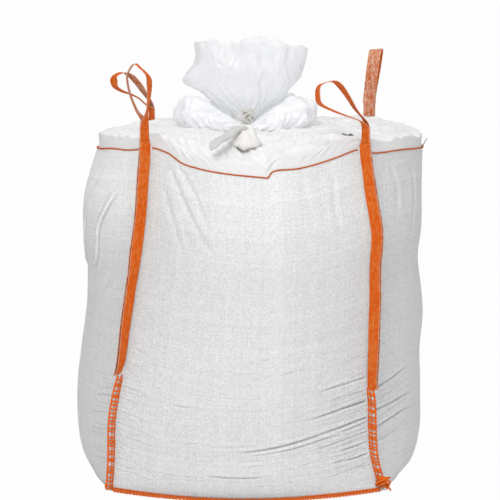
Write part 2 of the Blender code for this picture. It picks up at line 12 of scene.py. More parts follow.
import bmesh
import bpy
import numpy as np
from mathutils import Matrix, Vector


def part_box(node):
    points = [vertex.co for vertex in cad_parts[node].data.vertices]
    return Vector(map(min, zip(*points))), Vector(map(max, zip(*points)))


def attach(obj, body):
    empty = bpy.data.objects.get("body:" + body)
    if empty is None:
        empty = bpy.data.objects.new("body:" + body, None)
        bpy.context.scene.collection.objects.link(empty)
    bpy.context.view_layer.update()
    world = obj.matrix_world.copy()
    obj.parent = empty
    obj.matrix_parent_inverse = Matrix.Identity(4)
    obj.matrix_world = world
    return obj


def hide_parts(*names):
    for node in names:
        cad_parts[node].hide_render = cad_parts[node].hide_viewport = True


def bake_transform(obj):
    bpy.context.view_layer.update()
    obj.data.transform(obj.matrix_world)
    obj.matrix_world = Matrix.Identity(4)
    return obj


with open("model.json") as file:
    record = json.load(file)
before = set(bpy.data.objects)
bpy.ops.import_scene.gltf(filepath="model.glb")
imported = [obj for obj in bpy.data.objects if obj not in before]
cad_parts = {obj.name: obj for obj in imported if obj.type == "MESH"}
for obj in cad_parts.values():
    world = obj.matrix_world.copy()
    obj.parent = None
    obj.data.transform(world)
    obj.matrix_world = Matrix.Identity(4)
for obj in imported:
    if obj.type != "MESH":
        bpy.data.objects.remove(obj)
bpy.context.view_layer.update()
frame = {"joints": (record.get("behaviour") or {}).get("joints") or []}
scene = bpy.context.scene
scene.view_settings.view_transform = 'Standard'
scene.view_settings.look = 'None'

# ------------------------------------------------------------------ design
HEIGHT = 1.120
FOOT_Z = .012
CLOTH_RISE = HEIGHT - FOOT_Z
HALF_RUN = .45                      # half a panel's width along the cloth
BASE_THICK = .0020
LIFT_MID, LIFT_CORNER = .006, .016  # base edge above the floor
RIM_OUT = .0115                     # how far the base edge stands out
RIM_TUCK = .0175                    # how far it is drawn in where it is tucked under
SEAM_WIDTH = .025                   # standing seam, out from the corner
SEAM_FOOT, SEAM_HEAD = .0215, 1.113
WEB_WIDTH, WEB_THICK = .0465, .0022
WEB_ROOT = .004                     # from the corner to the webbing's inner edge
NECK_TWIST = .45                    # share of the loop's turn made in its neck
NECK_SPAN_CUT = .0258               # the neck's turn ends this far below the swing pivot
SKIRT_TOP = 1.152
TURN = 2 * np.pi
UP = np.array([0, 0, 1.])

# (z, distance of the corner from the axis along both x and y)
CORNER_REACH = {
    'front_left': [(.012, .437), (.10, .430), (.24, .424), (.34, .410), (.48, .386),
                   (.63, .364), (.76, .342), (.90, .322), (1.0, .316), (1.12, .307)],
    'front_right': [(.012, .437), (.05, .421), (.11, .405), (.17, .399), (.24, .396), (.50, .392),
                    (.71, .395), (.84, .397), (.92, .388), (1.02, .372), (1.12, .359)],
    'back_right': [(.012, .437), (.10, .424), (.24, .415), (.50, .408), (.75, .408),
                   (1.12, .418)],
    'back_left': [(.012, .437), (.10, .428), (.24, .420), (.50, .394), (.80, .360),
                  (1.12, .313)],
}
# (z, distance of the panel's middle from the axis)
BULGE = {
    'front': [(.012, .530), (.05, .562), (.12, .582), (.30, .590), (.45, .583),
              (.60, .572), (.75, .570), (.90, .560), (1.12, .515)],
    'right': [(.012, .535), (.04, .572), (.12, .594), (.22, .597), (.41, .592), (.55, .600),
              (.65, .591), (.74, .581), (.84, .592), (.98, .590), (1.12, .589)],
    'back': [(.012, .530), (.05, .562), (.12, .584), (.30, .592), (.50, .586),
             (.75, .578), (.95, .565), (1.12, .540)],
    'left': [(.012, .530), (.066, .563), (.15, .578), (.29, .579), (.43, .563), (.57, .543),
             (.67, .536), (.74, .543), (.82, .554), (.96, .546), (1.12, .497)],
}
# (u, z of the hem's stitch line)
HEM = {
    'front': [(-1, 1.118), (-.93, 1.117), (-.80, 1.106), (-.66, 1.080), (-.50, 1.068),
              (-.33, 1.060), (-.15, 1.054), (0, 1.050), (.13, 1.046), (.165, 1.046),
              (.20, 1.062), (.26, 1.069), (.42, 1.071), (.60, 1.082), (.80, 1.100),
              (.93, 1.114), (1, 1.118)],
    'right': [(-1, 1.118), (-.95, 1.106), (-.85, 1.100), (-.6, 1.100), (-.3, 1.093),
              (0, 1.086), (.4, 1.090), (.8, 1.104), (1, 1.118)],
    'back': [(-1, 1.116), (-.7, 1.086), (-.3, 1.066), (.1, 1.060), (.5, 1.072),
             (.8, 1.098), (1, 1.116)],
    'left': [(-1, 1.118), (-.7, 1.099), (-.3, 1.087), (0, 1.086), (.3, 1.091),
             (.55, 1.100), (.8, 1.103), (1, 1.118)],
}
# height where the webbing begins at each corner
STRAP_END = {'front_left': .389, 'front_right': .346, 'back_right': .362, 'back_left': .372}
# (z, degrees the standing seam leans out of the corner's diagonal)
LEAN = {
    'front_left': [(.012, -2), (.20, 5), (.33, 4), (.40, -19), (.48, -16), (.60, -9),
                   (.72, -7), (.80, 2), (.9, 0), (1.05, 0), (1.12, 0)],
    'front_right': [(.012, 8), (.12, 15), (.30, 10), (.36, -8), (.42, -5), (.60, 1),
                    (.75, -3), (.9, 3), (1.05, 0), (1.12, 0)],
    'back_right': [(.012, 4), (.30, -6), (.5, 4), (.8, -4), (1.05, 0), (1.12, 0)],
    'back_left': [(.012, -4), (.30, 6), (.5, -4), (.8, 4), (1.05, 0), (1.12, 0)],
}
# (u, how far the panel's mesh rows dip there, to follow its drag folds)
ROW_DIP = {
    'front': [(-1, 0), (-.6, .060), (-.2, .104), (.13, .100), (.38, .077), (.67, .037), (1, 0)],
    'right': [(-1, 0), (-.5, -.045), (0, -.050), (.5, .010), (1, 0)],
    'back': [(-1, 0), (-.5, .050), (0, .070), (.5, .050), (1, 0)],
    'left': [(-1, 0), (-.5, .045), (0, .060), (.5, .045), (1, 0)],
}
# signs of x and y at each corner
SIGN = {'front_left': (-1, -1), 'front_right': (1, -1), 'back_right': (1, 1),
        'back_left': (-1, 1)}
CORNERS = list(SIGN)
# corners at the left and right end of each panel
PANELS = {'front': ('front_left', 'front_right'), 'right': ('front_right', 'back_right'),
          'back': ('back_right', 'back_left'), 'left': ('back_left', 'front_left')}
PANEL_SEED = {'front': 100, 'right': 200, 'back': 300, 'left': 400}

# Lift loops, each drawn in an upright plane through its swing pivot:
# plane  heading of that plane, degrees
# line   (across, up) from the pivot
# face   (share of the line, heading, tilt) of the webbing's width, degrees
# lean   sideways drift per metre of height;  swap  reverse side turned out
# plain  the face material on both sides
LOOPS = {
    'front_left': dict(
        plane=-22,
        line=[(-.003, .028), (-.025, .054), (-.042, .089), (-.051, .114), (-.058, .146),
              (-.057, .172), (-.034, .203), (-.010, .190), (.013, .169), (.019, .145),
              (.018, .107), (.012, .065), (.004, .030)],
        face=[(0, -112, 0), (.15, -96, 0), (.40, -94, 0), (.50, -97, 2), (.60, -98, 4),
              (.70, -110, 4), (.78, -104, 2), (.88, -95, 0), (1, -104, 0)]),
    'front_right': dict(
        plane=10, plain=True,
        line=[(-.012, .024), (-.034, .035), (-.094, .057), (-.147, .083), (-.157, .110),
              (-.154, .138), (-.137, .150), (-.105, .155), (-.082, .137), (-.059, .105),
              (-.033, .064), (-.004, .030)],
        face=[(0, -80, 0), (.12, -80, 2), (.25, -74, 6), (.38, -72, 8), (.48, -76, 6),
              (.58, -80, 8), (.68, -72, 14), (.80, -76, 8), (.92, -84, 0), (1, -80, 0)]),
    'back_right': dict(
        plane=80, lean=.13, swap=True,
        line=[(-.005, .030), (-.030, .090), (-.043, .148), (-.036, .192), (0, .205),
              (.036, .192), (.043, .148), (.030, .090), (.005, .030)],
        face=[(0, -28, 0), (.2, -30, 0), (.5, -22, 6), (.8, -30, 0), (1, -28, 0)]),
    'back_left': dict(
        plane=8,
        line=[(-.020, .018), (-.045, .040), (-.076, .056), (-.104, .066), (-.127, .082),
              (-.132, .105), (-.123, .123), (-.097, .130), (-.072, .118), (-.051, .096),
              (-.030, .067), (-.006, .030)],
        face=[(0, 98, 0), (.2, 102, -8), (.35, 112, -10), (.46, 128, -4), (.55, 104, 4),
              (.66, 120, -8), (.82, 122, -8), (.93, 112, -2), (1, 98, 0)]),
}
PIVOT = {j['name']: np.array(j['pos_m'], float) for j in frame['joints'] if 'pos_m' in j}


# ------------------------------------------------------------------- maths
def pack(*parts):
    """Stacks coordinates, broadcast together, along a new last axis."""
    return np.stack(np.broadcast_arrays(*parts), -1)


def curve(points, x):
    """Smooth curve through control points, evaluated on an array."""
    xs, ys = np.array(points, float).T
    n = len(xs)
    before = np.maximum(np.arange(n) - 1, 0)
    after = np.minimum(np.arange(n) + 1, n - 1)
    slope = (ys[after] - ys[before]) / (xs[after] - xs[before])
    x = np.clip(np.asarray(x, float), xs[0], xs[-1])
    i = np.clip(np.searchsorted(xs, x, side='right') - 1, 0, n - 2)
    h = xs[i + 1] - xs[i]
    t = (x - xs[i]) / h
    return ((2*t**3 - 3*t**2 + 1) * ys[i] + (t**3 - 2*t**2 + t) * h * slope[i]
            + (-2*t**3 + 3*t**2) * ys[i + 1] + (t**3 - t**2) * h * slope[i + 1])


def ease(start, end, x):
    """0 at start, 1 at end, smooth between; start may be the greater."""
    t = np.clip((np.asarray(x, float) - start) / (end - start), 0, 1)
    return t * t * (3 - 2 * t)


def smooth_line(points, steps=8):
    """Catmull-Rom line through the points."""
    p = np.asarray(points, float)
    q = np.vstack([p[0], p, p[-1]])
    out = []
    for a, b, c, d in zip(q, q[1:], q[2:], q[3:]):
        for s in range(steps):
            t = s / steps
            out.append(.5 * (2 * b + (c - a) * t + (2 * a - 5 * b + 4 * c - d) * t * t
                             + (3 * b - a - 3 * c + d) * t ** 3))
    out.append(p[-1])
    return np.array(out)


noise_tables = {}


def noise(P, seed=0):
    """Gradient noise at (..., 3) points, about -0.7 to 0.7, same every run."""
    if seed not in noise_tables:
        r = np.random.RandomState(seed + 17)
        g = r.normal(size=(256, 3))
        g /= np.linalg.norm(g, axis=1)[:, None]
        p = r.permutation(256)
        noise_tables[seed] = (np.concatenate([p, p, p]), g)
    perm, gradients = noise_tables[seed]
    P = np.asarray(P, float)
    i = np.floor(P).astype(int)
    f = P - i
    i &= 255
    w = f * f * f * (f * (f * 6 - 15) + 10)
    out = 0
    for dx, dy, dz in itertools.product((0, 1), repeat=3):
        h = perm[perm[perm[(i[..., 0] + dx) & 255] + ((i[..., 1] + dy) & 255)]
                 + ((i[..., 2] + dz) & 255)]
        g = gradients[h & 255]
        d = (g[..., 0] * (f[..., 0] - dx) + g[..., 1] * (f[..., 1] - dy)
             + g[..., 2] * (f[..., 2] - dz))
        weight = ((w[..., 0] if dx else 1 - w[..., 0]) * (w[..., 1] if dy else 1 - w[..., 1])
                  * (w[..., 2] if dz else 1 - w[..., 2]))
        out = out + weight * d
    return out


def noise_at(x, y, z, seed):
    return noise(pack(x, y, z), seed)


def crumple(P, seed, octaves):
    """Sharp-ridged noise, like folded thin cloth; about -1 to 1."""
    warp = pack(noise(P * .7 + 11, seed + 40), noise(P * .7 - 7, seed + 41),
                noise(P * .7 + 23, seed + 42))
    Q = P + 1.1 * warp
    total, gain, scale = 0, 1.0, 1.0
    for octave in range(octaves):
        total = total + gain * (1 - 3.2 * np.abs(noise(Q * scale, seed + octave)))
        gain *= .55
        scale *= 1.93
    return total * .55


def facets(P, seed, size, count, warp=.35, stretch=(1, 1, 1)):
    """Crumpled-sheet relief: flat facets that meet in sharp folds, from a sum
    of triangle waves in random directions over a warped space."""
    r = np.random.RandomState(seed)
    Q = P * np.array(stretch, float) / size
    W = Q + warp * pack(noise(Q * .8 + 5, seed + 1), noise(Q * .8 + 17, seed + 2),
                        noise(Q * .8 + 29, seed + 3))
    out = 0
    for _ in range(count):
        d = r.normal(size=3)
        d /= np.linalg.norm(d)
        f = r.uniform(.6, 1.7)
        t = W @ d * f + r.uniform(0, 9)
        out = out + (np.abs(t - np.floor(t + .5)) * 2 - .5) / f * r.uniform(.6, 1)
    return out / count ** .5 * 1.6


# ------------------------------------------------------------- bag surface
def radial(corner):
    return np.array([*SIGN[corner], 0.]) * math.sqrt(.5)


def seam_dirs(corner, z):
    """Outward and sideways directions of the standing seam at heights z."""
    r = radial(corner)
    t = np.array([-r[1], r[0], 0.])
    sx, sy = SIGN[corner]
    a = np.radians(curve(LEAN[corner], z)) * -sx * sy
    c, s = np.cos(a)[..., None], np.sin(a)[..., None]
    return r * c + t * s, t * c - r * s


def level(v):
    return FOOT_Z + np.asarray(v, float) * CLOTH_RISE


def floor_rise(u):
    return LIFT_MID + (LIFT_CORNER - LIFT_MID) * np.asarray(u, float) ** 2


def panel_foot(u):
    return floor_rise(u) + BASE_THICK + .0003


def hem_z(name, u):
    """Height of the top edge of a panel."""
    return curve(HEM[name], u) + .004


def height_at(name, u, v):
    low = panel_foot(u)
    return low + (hem_z(name, u) - low) * v


def corner_reach(corner, v):
    """Reach of the corner, which wanders a little under the contents."""
    z = level(v)
    wander = noise_at(z * 7.0, CORNERS.index(corner) * 3.7, 0, 5)
    return (curve(CORNER_REACH[corner], z)
            + .0035 * wander * ease(.05, .2, v) * ease(1.0, .9, v))


def corner_point(corner, v):
    a = corner_reach(corner, v)
    sx, sy = SIGN[corner]
    return pack(sx * a, sy * a, height_at('front', 1.0, v))


def corner_line(corner, z, samples):
    """Points of the corner at heights z."""
    p = corner_point(corner, np.linspace(0, 1, samples))
    return pack(np.interp(z, p[:, 2], p[:, 0]), np.interp(z, p[:, 2], p[:, 1]), z)


def seam_at(corner, z, out, aside):
    """Point on the standing seam: out from the corner and sideways."""
    r, t = seam_dirs(corner, z)
    return (corner_line(corner, z, 400) + r * np.asarray(out, float)[..., None]
            + t * np.asarray(aside, float)[..., None])


def surf(name, u, v, inset=0.):
    """Smooth panel surface (before folds) and its outward normal."""
    u, v = np.broadcast_arrays(np.asarray(u, float), np.asarray(v, float))
    a, b = (corner_reach(c, v)[..., None] * np.array(SIGN[c], float) for c in PANELS[name])
    mid, half = (a + b) / 2, (b - a) / 2
    chord = np.linalg.norm(half, axis=-1)
    t = half / chord[..., None]
    n = pack(t[..., 1], -t[..., 0])
    bow = curve(BULGE[name], level(v)) - (mid * n).sum(-1)
    xy = mid + t * (chord * u)[..., None] + n * (bow * (1 - u * u))[..., None]
    normal = t * (2 * bow * u)[..., None] + n * chord[..., None]
    normal /= np.linalg.norm(normal, axis=-1)[..., None]
    xy = xy - normal * np.asarray(inset, float)[..., None]
    return (pack(xy[..., 0], xy[..., 1], height_at(name, u, v)),
            pack(normal[..., 0], normal[..., 1], 0.))


def panel_loop(count, v, inset):
    """Points round all four panels at v, and their u; inset is a length or a
    function of panel and u."""
    u = np.linspace(-1, 1, count // 4, endpoint=False)
    rings = [surf(name, u, v, inset(name, u) if callable(inset) else inset)[0]
             for name in PANELS]
    return np.concatenate(rings), np.tile(u, 4)


def rim_inset(name, u):
    """Inset of the base edge: out all round, but tucked under on the left and
    right panels away from the front corners."""
    u = np.asarray(u, float)
    if name == 'left':
        return -RIM_OUT + RIM_TUCK * ease(.97, .80, u)
    if name == 'right':
        return -RIM_OUT + RIM_TUCK * ease(-.97, -.80, u)
    return np.full_like(u, -RIM_OUT)


# ----------------------------------------------------------------- meshing
def grid_mesh(name, P, uv, *materials, closed=False, unwrap=True):
    """Smooth quad sheet over a (rows, columns, 3) array. When it is closed
    round the columns, unwrap carries the UV map on over the last one."""
    P = np.asarray(P, float)
    rows, cols = P.shape[:2]
    i, j = np.meshgrid(np.arange(rows - 1), np.arange(cols if closed else cols - 1),
                       indexing='ij')

    def quads_over(width, after):
        return pack(i * width + j, i * width + after, (i + 1) * width + after,
                    (i + 1) * width + j).reshape(-1, 4)
    quads = uv_quads = quads_over(cols, (j + 1) % cols)
    if closed and unwrap:
        first, last = uv[:, :1], uv[:, -1:]
        extra = first + ((last - uv[:, -2:-1]) + (last - first)) * [1, 0]
        uv = np.concatenate([uv, extra], 1)
        uv_quads = quads_over(cols + 1, j + 1)
    me = bpy.data.meshes.new(name)
    me.vertices.add(rows * cols)
    me.vertices.foreach_set('co', P.reshape(-1).astype(np.float32))
    me.loops.add(quads.size)
    me.loops.foreach_set('vertex_index', quads.reshape(-1).astype(np.int32))
    me.polygons.add(len(quads))
    me.polygons.foreach_set('loop_start', (np.arange(len(quads)) * 4).astype(np.int32))
    flat_uv = uv.reshape(-1, 2)[uv_quads.reshape(-1)]
    me.uv_layers.new(name='UVMap').data.foreach_set(
        'uv', flat_uv.reshape(-1).astype(np.float32))
    me.update(calc_edges=True)
    me.validate()
    for material in materials:
        me.materials.append(material)
    me.shade_smooth()
    ob = bpy.data.objects.new(name, me)
    scene.collection.objects.link(ob)
    return ob


def close_caps(ob, count, smooth=True):
    """Closes the first and last ring, of count points each, with a face."""
    bm = bmesh.new()
    bm.from_mesh(ob.data)
    bm.verts.ensure_lookup_table()
    verts = list(bm.verts)
    for ring in (verts[:count][::-1], verts[-count:]):
        bm.faces.new(ring).smooth = smooth
    bmesh.ops.recalc_face_normals(bm, faces=bm.faces)
    bm.to_mesh(ob.data)
    bm.free()


def tube(name, path, radius, material, sides=8):
    """Tube along a path, its ring frame carried along, capped at both ends."""
    path = np.asarray(path, float)
    radius = np.broadcast_to(np.asarray(radius, float), (len(path),))
    d = np.gradient(path, axis=0)
    d /= np.linalg.norm(d, axis=1)[:, None] + 1e-12
    helper = np.array([.13, .27, .95]) if abs(d[0][2]) < .9 else np.array([.9, .3, .1])
    x = np.cross(d[0], helper)
    x /= np.linalg.norm(x)
    a = np.arange(sides) * 2 * np.pi / sides
    rows = []
    for centre, along, r in zip(path, d, radius):
        x = x - along * (x @ along)
        x /= np.linalg.norm(x) + 1e-12
        y = np.cross(along, x)
        rows.append(centre + r * (np.cos(a)[:, None] * x + np.sin(a)[:, None] * y))
    lengths = np.linalg.norm(np.diff(path, axis=0), axis=1)
    uv = pack(a[None] / TURN, np.concatenate([[0], np.cumsum(lengths)])[:, None])
    first, last = (r.mean(0) + (r - r.mean(0)) * .02 for r in (rows[0], rows[-1]))
    uv = np.concatenate([uv[:1], uv, uv[-1:]], 0)
    ob = grid_mesh(name, [first, *rows, last], uv, material, closed=True)
    close_caps(ob, sides, smooth=False)
    return ob


def thicken(ob, thickness, offset=-1.0):
    m = ob.modifiers.new('thickness', 'SOLIDIFY')
    m.thickness = thickness
    m.offset = offset
    m.use_even_offset = False


def join(obs, name):
    """Joins meshes into the first one."""
    bpy.context.view_layer.update()
    for o in bpy.context.selected_objects:
        o.select_set(False)
    for o in obs:
        o.select_set(True)
    bpy.context.view_layer.objects.active = obs[0]
    bpy.ops.object.join()
    ob = bpy.context.view_layer.objects.active
    ob.name = name
    ob.data.name = name
    return ob


def register(ob, replaced, body='root'):
    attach(ob, body)
    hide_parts(replaced)


# --------------------------------------------------------------- node trees
class Nodes:
    """Writes a node tree as expressions of sockets and plain values."""

    def __init__(self, owner):
        owner.use_nodes = True
        self.tree = owner.node_tree
        self.shader = self.tree.nodes.get('Principled BSDF')

    def put(self, socket, value):
        if hasattr(value, 'is_output'):
            self.tree.links.new(value, socket)
        else:
            socket.default_value = value

    def shade(self, values):
        for key, value in values.items():
            self.put(self.shader.inputs[key], value)

    def node(self, kind, inputs=None, **props):
        n = self.tree.nodes.new(kind)
        for key, value in props.items():
            setattr(n, key, value)
        for key, value in (inputs or {}).items():
            self.put(n.inputs[key], value)
        return n

    def math(self, op, *values, clamp=False):
        return self.node('ShaderNodeMath', dict(enumerate(values)), operation=op,
                         use_clamp=clamp).outputs[0]

    def add(self, a, b):
        return self.math('ADD', a, b)

    def sub(self, a, b):
        return self.math('SUBTRACT', a, b)

    def mul(self, a, b, clamp=False):
        return self.math('MULTIPLY', a, b, clamp=clamp)

    def div(self, a, b):
        return self.math('DIVIDE', a, b)

    def floor(self, a):
        return self.math('FLOOR', a)

    def off_middle(self, a):
        """Distance from the middle of each unit step, 0 to .5."""
        return self.math('ABSOLUTE', self.sub(self.math('FRACT', a), .5))

    def mix(self, factor, a, b, mode='MIX'):
        a, b = (c if hasattr(c, 'is_output') else (*c, 1) for c in (a, b))
        return self.node('ShaderNodeMix', {0: factor, 6: a, 7: b}, data_type='RGBA',
                         blend_type=mode).outputs[2]

    def scale(self, colour, *channels):
        """Multiplies a colour by one tone, or by one for each channel."""
        tones = channels if len(channels) == 3 else channels * 3
        return self.mix(1.0, colour, self.vec(*tones), 'MULTIPLY')

    def split(self, vector):
        return self.node('ShaderNodeSeparateXYZ', {0: vector}).outputs

    def uv(self):
        parts = self.split(self.node('ShaderNodeUVMap').outputs[0])
        return parts[0], parts[1]

    def pos(self):
        return self.node('ShaderNodeTexCoord').outputs['Object']

    def vec(self, x, y, z):
        return self.node('ShaderNodeCombineXYZ', {0: x, 1: y, 2: z}).outputs[0]

    def noise(self, vector, scale, detail=2.0, rough=.5, distortion=0.0):
        return self.node('ShaderNodeTexNoise', {
            'Vector': vector, 'Scale': scale, 'Detail': detail, 'Roughness': rough,
            'Distortion': distortion}).outputs['Fac']

    def white(self, x, y, z):
        return self.node('ShaderNodeTexWhiteNoise', {0: self.vec(x, y, z)},
                         noise_dimensions='3D').outputs['Value']

    def map(self, value, span, to=(0, 1)):
        inputs = dict(enumerate((value, *span, *to)))
        return self.node('ShaderNodeMapRange', inputs).outputs[0]

    def bump(self, height, strength, distance, normal=None):
        inputs = {'Strength': strength, 'Distance': distance, 'Height': height}
        if normal is not None:
            inputs['Normal'] = normal
        return self.node('ShaderNodeBump', inputs).outputs[0]


def new_material(name):
    m = bpy.data.materials.new(name)
    return m, Nodes(m)


# ---------------------------------------------------------------- materials
def woven(name, tint, tape=.0034, contrast=1.0, clear=0.0):
    """Plain-woven polypropylene tape cloth: flat tapes over and under, each a
    slightly different white, satin shine. tape is the width of one, contrast
    how much they differ, clear how much lighter the top of the bag is painted,
    as painted light for the light that comes through its unfilled top."""
    m, k = new_material(name)
    x, y = k.uv()
    across, along = k.div(x, tape), k.div(y, tape)
    column, row = k.floor(across), k.floor(along)
    over = k.math('ABSOLUTE', k.math('MODULO', k.add(column, row), 2.0))
    # random tones: single tapes, bands of 5 and 7 tapes, single crossings
    warp = k.white(column, 3.0, 1.0)
    weft = k.white(7.0, row, 2.0)
    wide_column = k.white(k.floor(k.div(column, 5.0)), 9.0, 4.0)
    wide_row = k.white(2.0, k.floor(k.div(row, 7.0)), 5.0)
    crossing = k.white(column, row, 6.0)
    tape_tone = k.add(k.mul(k.mix(over, warp, weft), .35), k.mul(crossing, .65))
    tone = k.add(k.mul(tape_tone, .075 * contrast),
                 k.mul(k.add(wide_column, wide_row), .003 * contrast))
    # broad blotches, then the whole centred near 1
    blot = k.noise(k.pos(), scale=3.2, detail=3, rough=.55)
    tone = k.add(tone, k.mul(k.sub(blot, .5), .05))
    tone = k.sub(k.add(tone, 1.0), .048 * contrast)
    colour = k.scale(tint, tone)
    # painted light: the top is made lighter above a ragged line, for the light that the unfilled
    # top lets through
    height = k.split(k.pos())[2]
    ragged = k.add(height, k.mul(k.noise(k.pos(), scale=4.0), .16))
    up = k.map(ragged, span=(.82, 1.08))
    colour = k.scale(colour, k.add(k.mul(up, clear), 1.0))
    # painted shade in the valleys of the folds, a painted highlight along their crests
    fold = k.node('ShaderNodeAttribute', attribute_name='fold').outputs['Fac']
    valley_shade = k.map(fold, span=(-.0034, -.0002), to=(.50, 1.0))
    crest = k.map(fold, span=(.0002, .0026), to=(1.0, 1.14))
    colour = k.scale(colour, *[k.mul(valley_shade, crest) for _ in range(3)])
    # faint warm patches
    hue = k.noise(k.pos(), scale=1.7)
    colour = k.mix(k.mul(hue, .10), colour, (.86, .84, .84))
    # weave relief: each tape is crowned, the one on top stands higher
    crowns = []
    for place in (across, along):
        off = k.off_middle(place)
        crowns.append(k.sub(1.0, k.mul(k.mul(off, off), 4.0)))
    weave = k.bump(k.mix(over, *crowns), strength=.35, distance=.0008)
    soft = k.noise(k.pos(), scale=38, detail=3, rough=.6)
    k.shade({
        'Base Color': colour,
        'Normal': k.bump(soft, strength=.18, distance=.004, normal=weave),
        'Roughness': k.add(k.mul(tape_tone, .12), .44),
        'Specular IOR Level': .45,
        'Sheen Weight': .15})
    return m


def calm(k, colour):
    """The colour itself, but a pale warm grey for light bounced on to neighbours."""
    path = k.node('ShaderNodeLightPath')
    return k.mix(path.outputs['Is Diffuse Ray'], colour, (.62, .54, .50))


def webbing(name, base, dark, fleck, threshold, fleck_mix):
    """Webbing: a herringbone of ribs with pale flecks where the random tone
    passes the threshold."""
    m, k = new_material(name)
    x, y = k.uv()
    rib_pitch, zigzag, column_width = .0062, .0125, .0033
    edge_width, edge_pitch = .0016, .0070
    fold = k.math('PINGPONG', x, zigzag)
    diagonal = k.div(k.add(y, k.mul(fold, 1.0)), rib_pitch)
    rib = k.off_middle(diagonal)
    tone = k.white(k.floor(k.div(x, column_width)), k.floor(diagonal), 3.0)
    fibre = k.noise(k.vec(k.mul(x, 1.0), k.mul(y, .35), 0.0), scale=260, rough=.6)
    colour = k.mix(k.map(rib, span=(0, .5)), dark, base)
    flecks = k.mul(k.math('GREATER_THAN', tone, threshold), k.map(rib, span=(.15, .4)))
    colour = k.mix(k.mul(flecks, fleck_mix), colour, fleck)
    colour = k.mix(k.mul(k.sub(fibre, .35), .5, clamp=True), colour, dark)
    worn = k.noise(k.pos(), scale=9, detail=3, rough=.6)
    colour = k.mix(k.map(worn, span=(.5, .8), to=(0, .15)), colour, fleck)
    # edges: pale flecks where the weft turns back
    from_middle = k.math('ABSOLUTE', k.sub(x, WEB_WIDTH / 2))
    edge = k.math('GREATER_THAN', from_middle, WEB_WIDTH / 2 - edge_width)
    turns = k.math('GREATER_THAN', k.math('FRACT', k.div(y, edge_pitch)), .55)
    colour = k.mix(k.mul(k.mul(edge, turns), .8), colour, (.95, .80, .66))
    k.shade({
        'Base Color': calm(k, colour),
        'Normal': k.bump(k.sub(1.0, k.mul(rib, 1.6)), strength=.6, distance=.0008),
        'Roughness': .70,
        'Specular IOR Level': .12})
    return m


def thread(name, base, pale, dark, twist=.006):
    """Twisted thread: painted shade in the grooves that spiral once in two twists' length, and
    pale flecks of painted highlight.
    """
    m, k = new_material(name)
    around, along = k.uv()
    groove = k.off_middle(k.add(k.div(along, twist), k.mul(around, 2.0)))
    glint_flecks = k.noise(k.pos(), scale=330, rough=.6)
    # painted shade: darker in the grooves
    colour = k.mix(k.map(groove, span=(.08, .42)), dark, base)
    # painted highlight: pale flecks
    colour = k.mix(k.mul(k.map(glint_flecks, span=(.55, .8)), .6), colour, pale)
    k.shade({
        'Base Color': calm(k, colour),
        'Normal': k.bump(groove, strength=.7, distance=.0005),
        'Roughness': .7,
        'Specular IOR Level': .12})
    return m


def film(name, alpha, tint, painted_glow):
    """Thin clear polyethylene: mostly see-through face on, milky where it
    turns away, with a faint painted glow for the light that passes through it,
    painted shade along the crinkle valleys, and sharp crinkled highlights."""
    m, k = new_material(name)
    pos = k.pos()
    facing = k.node('ShaderNodeLayerWeight', {'Blend': .35}).outputs['Facing']
    crinkle = k.noise(pos, scale=30, detail=4, rough=.62, distortion=.6)
    ridge = k.math('ABSOLUTE', k.sub(crinkle, .5))
    broad = k.noise(pos, scale=12, distortion=.4)
    k.shade({
        # painted shade: greyer along the crinkle valleys
        'Base Color': k.mix(k.map(ridge, span=(0, .10)), (.90, .91, .93), tint),
        'Alpha': k.map(k.add(facing, k.mul(broad, .35)), span=(.15, 1.0),
                       to=(alpha - .12, .97)),
        'Normal': k.bump(ridge, strength=.42, distance=.012),
        'Roughness': .16,
        'Specular IOR Level': .6,
        # painted glow: emission standing in for light that passes through the film
        'Emission Color': (.97, .98, 1, 1),
        'Emission Strength': painted_glow})
    return m


def pellets(name):
    m, k = new_material(name)
    grain = k.node('ShaderNodeTexVoronoi', {'Vector': k.pos(), 'Scale': 190})
    distance = grain.outputs['Distance']
    # painted shade: darker away from each grain's middle, in the gaps between grains
    colour = k.mix(distance, (.62, .49, .33), (.40, .30, .19))
    patches = k.mul(k.noise(k.pos(), scale=60, detail=3), .5)
    k.shade({
        'Base Color': k.mix(patches, colour, (.74, .64, .50)),
        'Normal': k.bump(distance, strength=.8, distance=.003),
        'Roughness': .8})
    return m


# one cloth in three copies: the right side's darker, bluer tint is painted shade; the left side's
# darker tint is painted shade, and its stronger lightening of the top is painted light
CLOTH_FRONT = woven('woven_front', tint=(.830, .830, .832), contrast=5.0, clear=.10)
CLOTH_RIGHT_SHADED = woven('woven_side', tint=(.808, .808, .823), contrast=4.8, clear=.06)
CLOTH_LEFT_LIGHT_AND_SHADE = woven('woven_left', tint=(.790, .787, .787), contrast=4.8, clear=.24)
CLOTH_SKIRT = woven('woven_skirt', tint=(.95, .945, .945), tape=.0022, contrast=.5)
CLOTH_BASE = woven('woven_base', tint=(.70, .70, .70))
WEB_FACE = webbing('webbing_face', base=(.93, .150, .003), dark=(.58, .070, .002),
                   fleck=(1.0, .46, .13), threshold=.70, fleck_mix=.75)
WEB_REVERSE = webbing('webbing_reverse', base=(.80, .200, .050), dark=(.50, .100, .016),
                      fleck=(1.0, .86, .72), threshold=.52, fleck_mix=.95)
THREAD = thread('thread_orange', base=(.97, .165, .001), pale=(1.0, .62, .34),
                dark=(.80, .110, .001))
HEM_THREAD = thread('thread_hem', base=(.84, .150, .004), pale=(.95, .36, .08),
                    dark=(.30, .048, .003), twist=.009)
DARK_THREAD = thread('thread_dark', base=(.10, .09, .08), pale=(.3, .3, .3),
                     dark=(.04, .04, .04))
FILM = film('liner_film', alpha=.44, tint=(.91, .915, .93), painted_glow=.07)
FILM_LAYERS = film('liner_film_layers', alpha=.80, tint=(.95, .955, .965), painted_glow=.13)
PELLETS = pellets('pellet_fill')
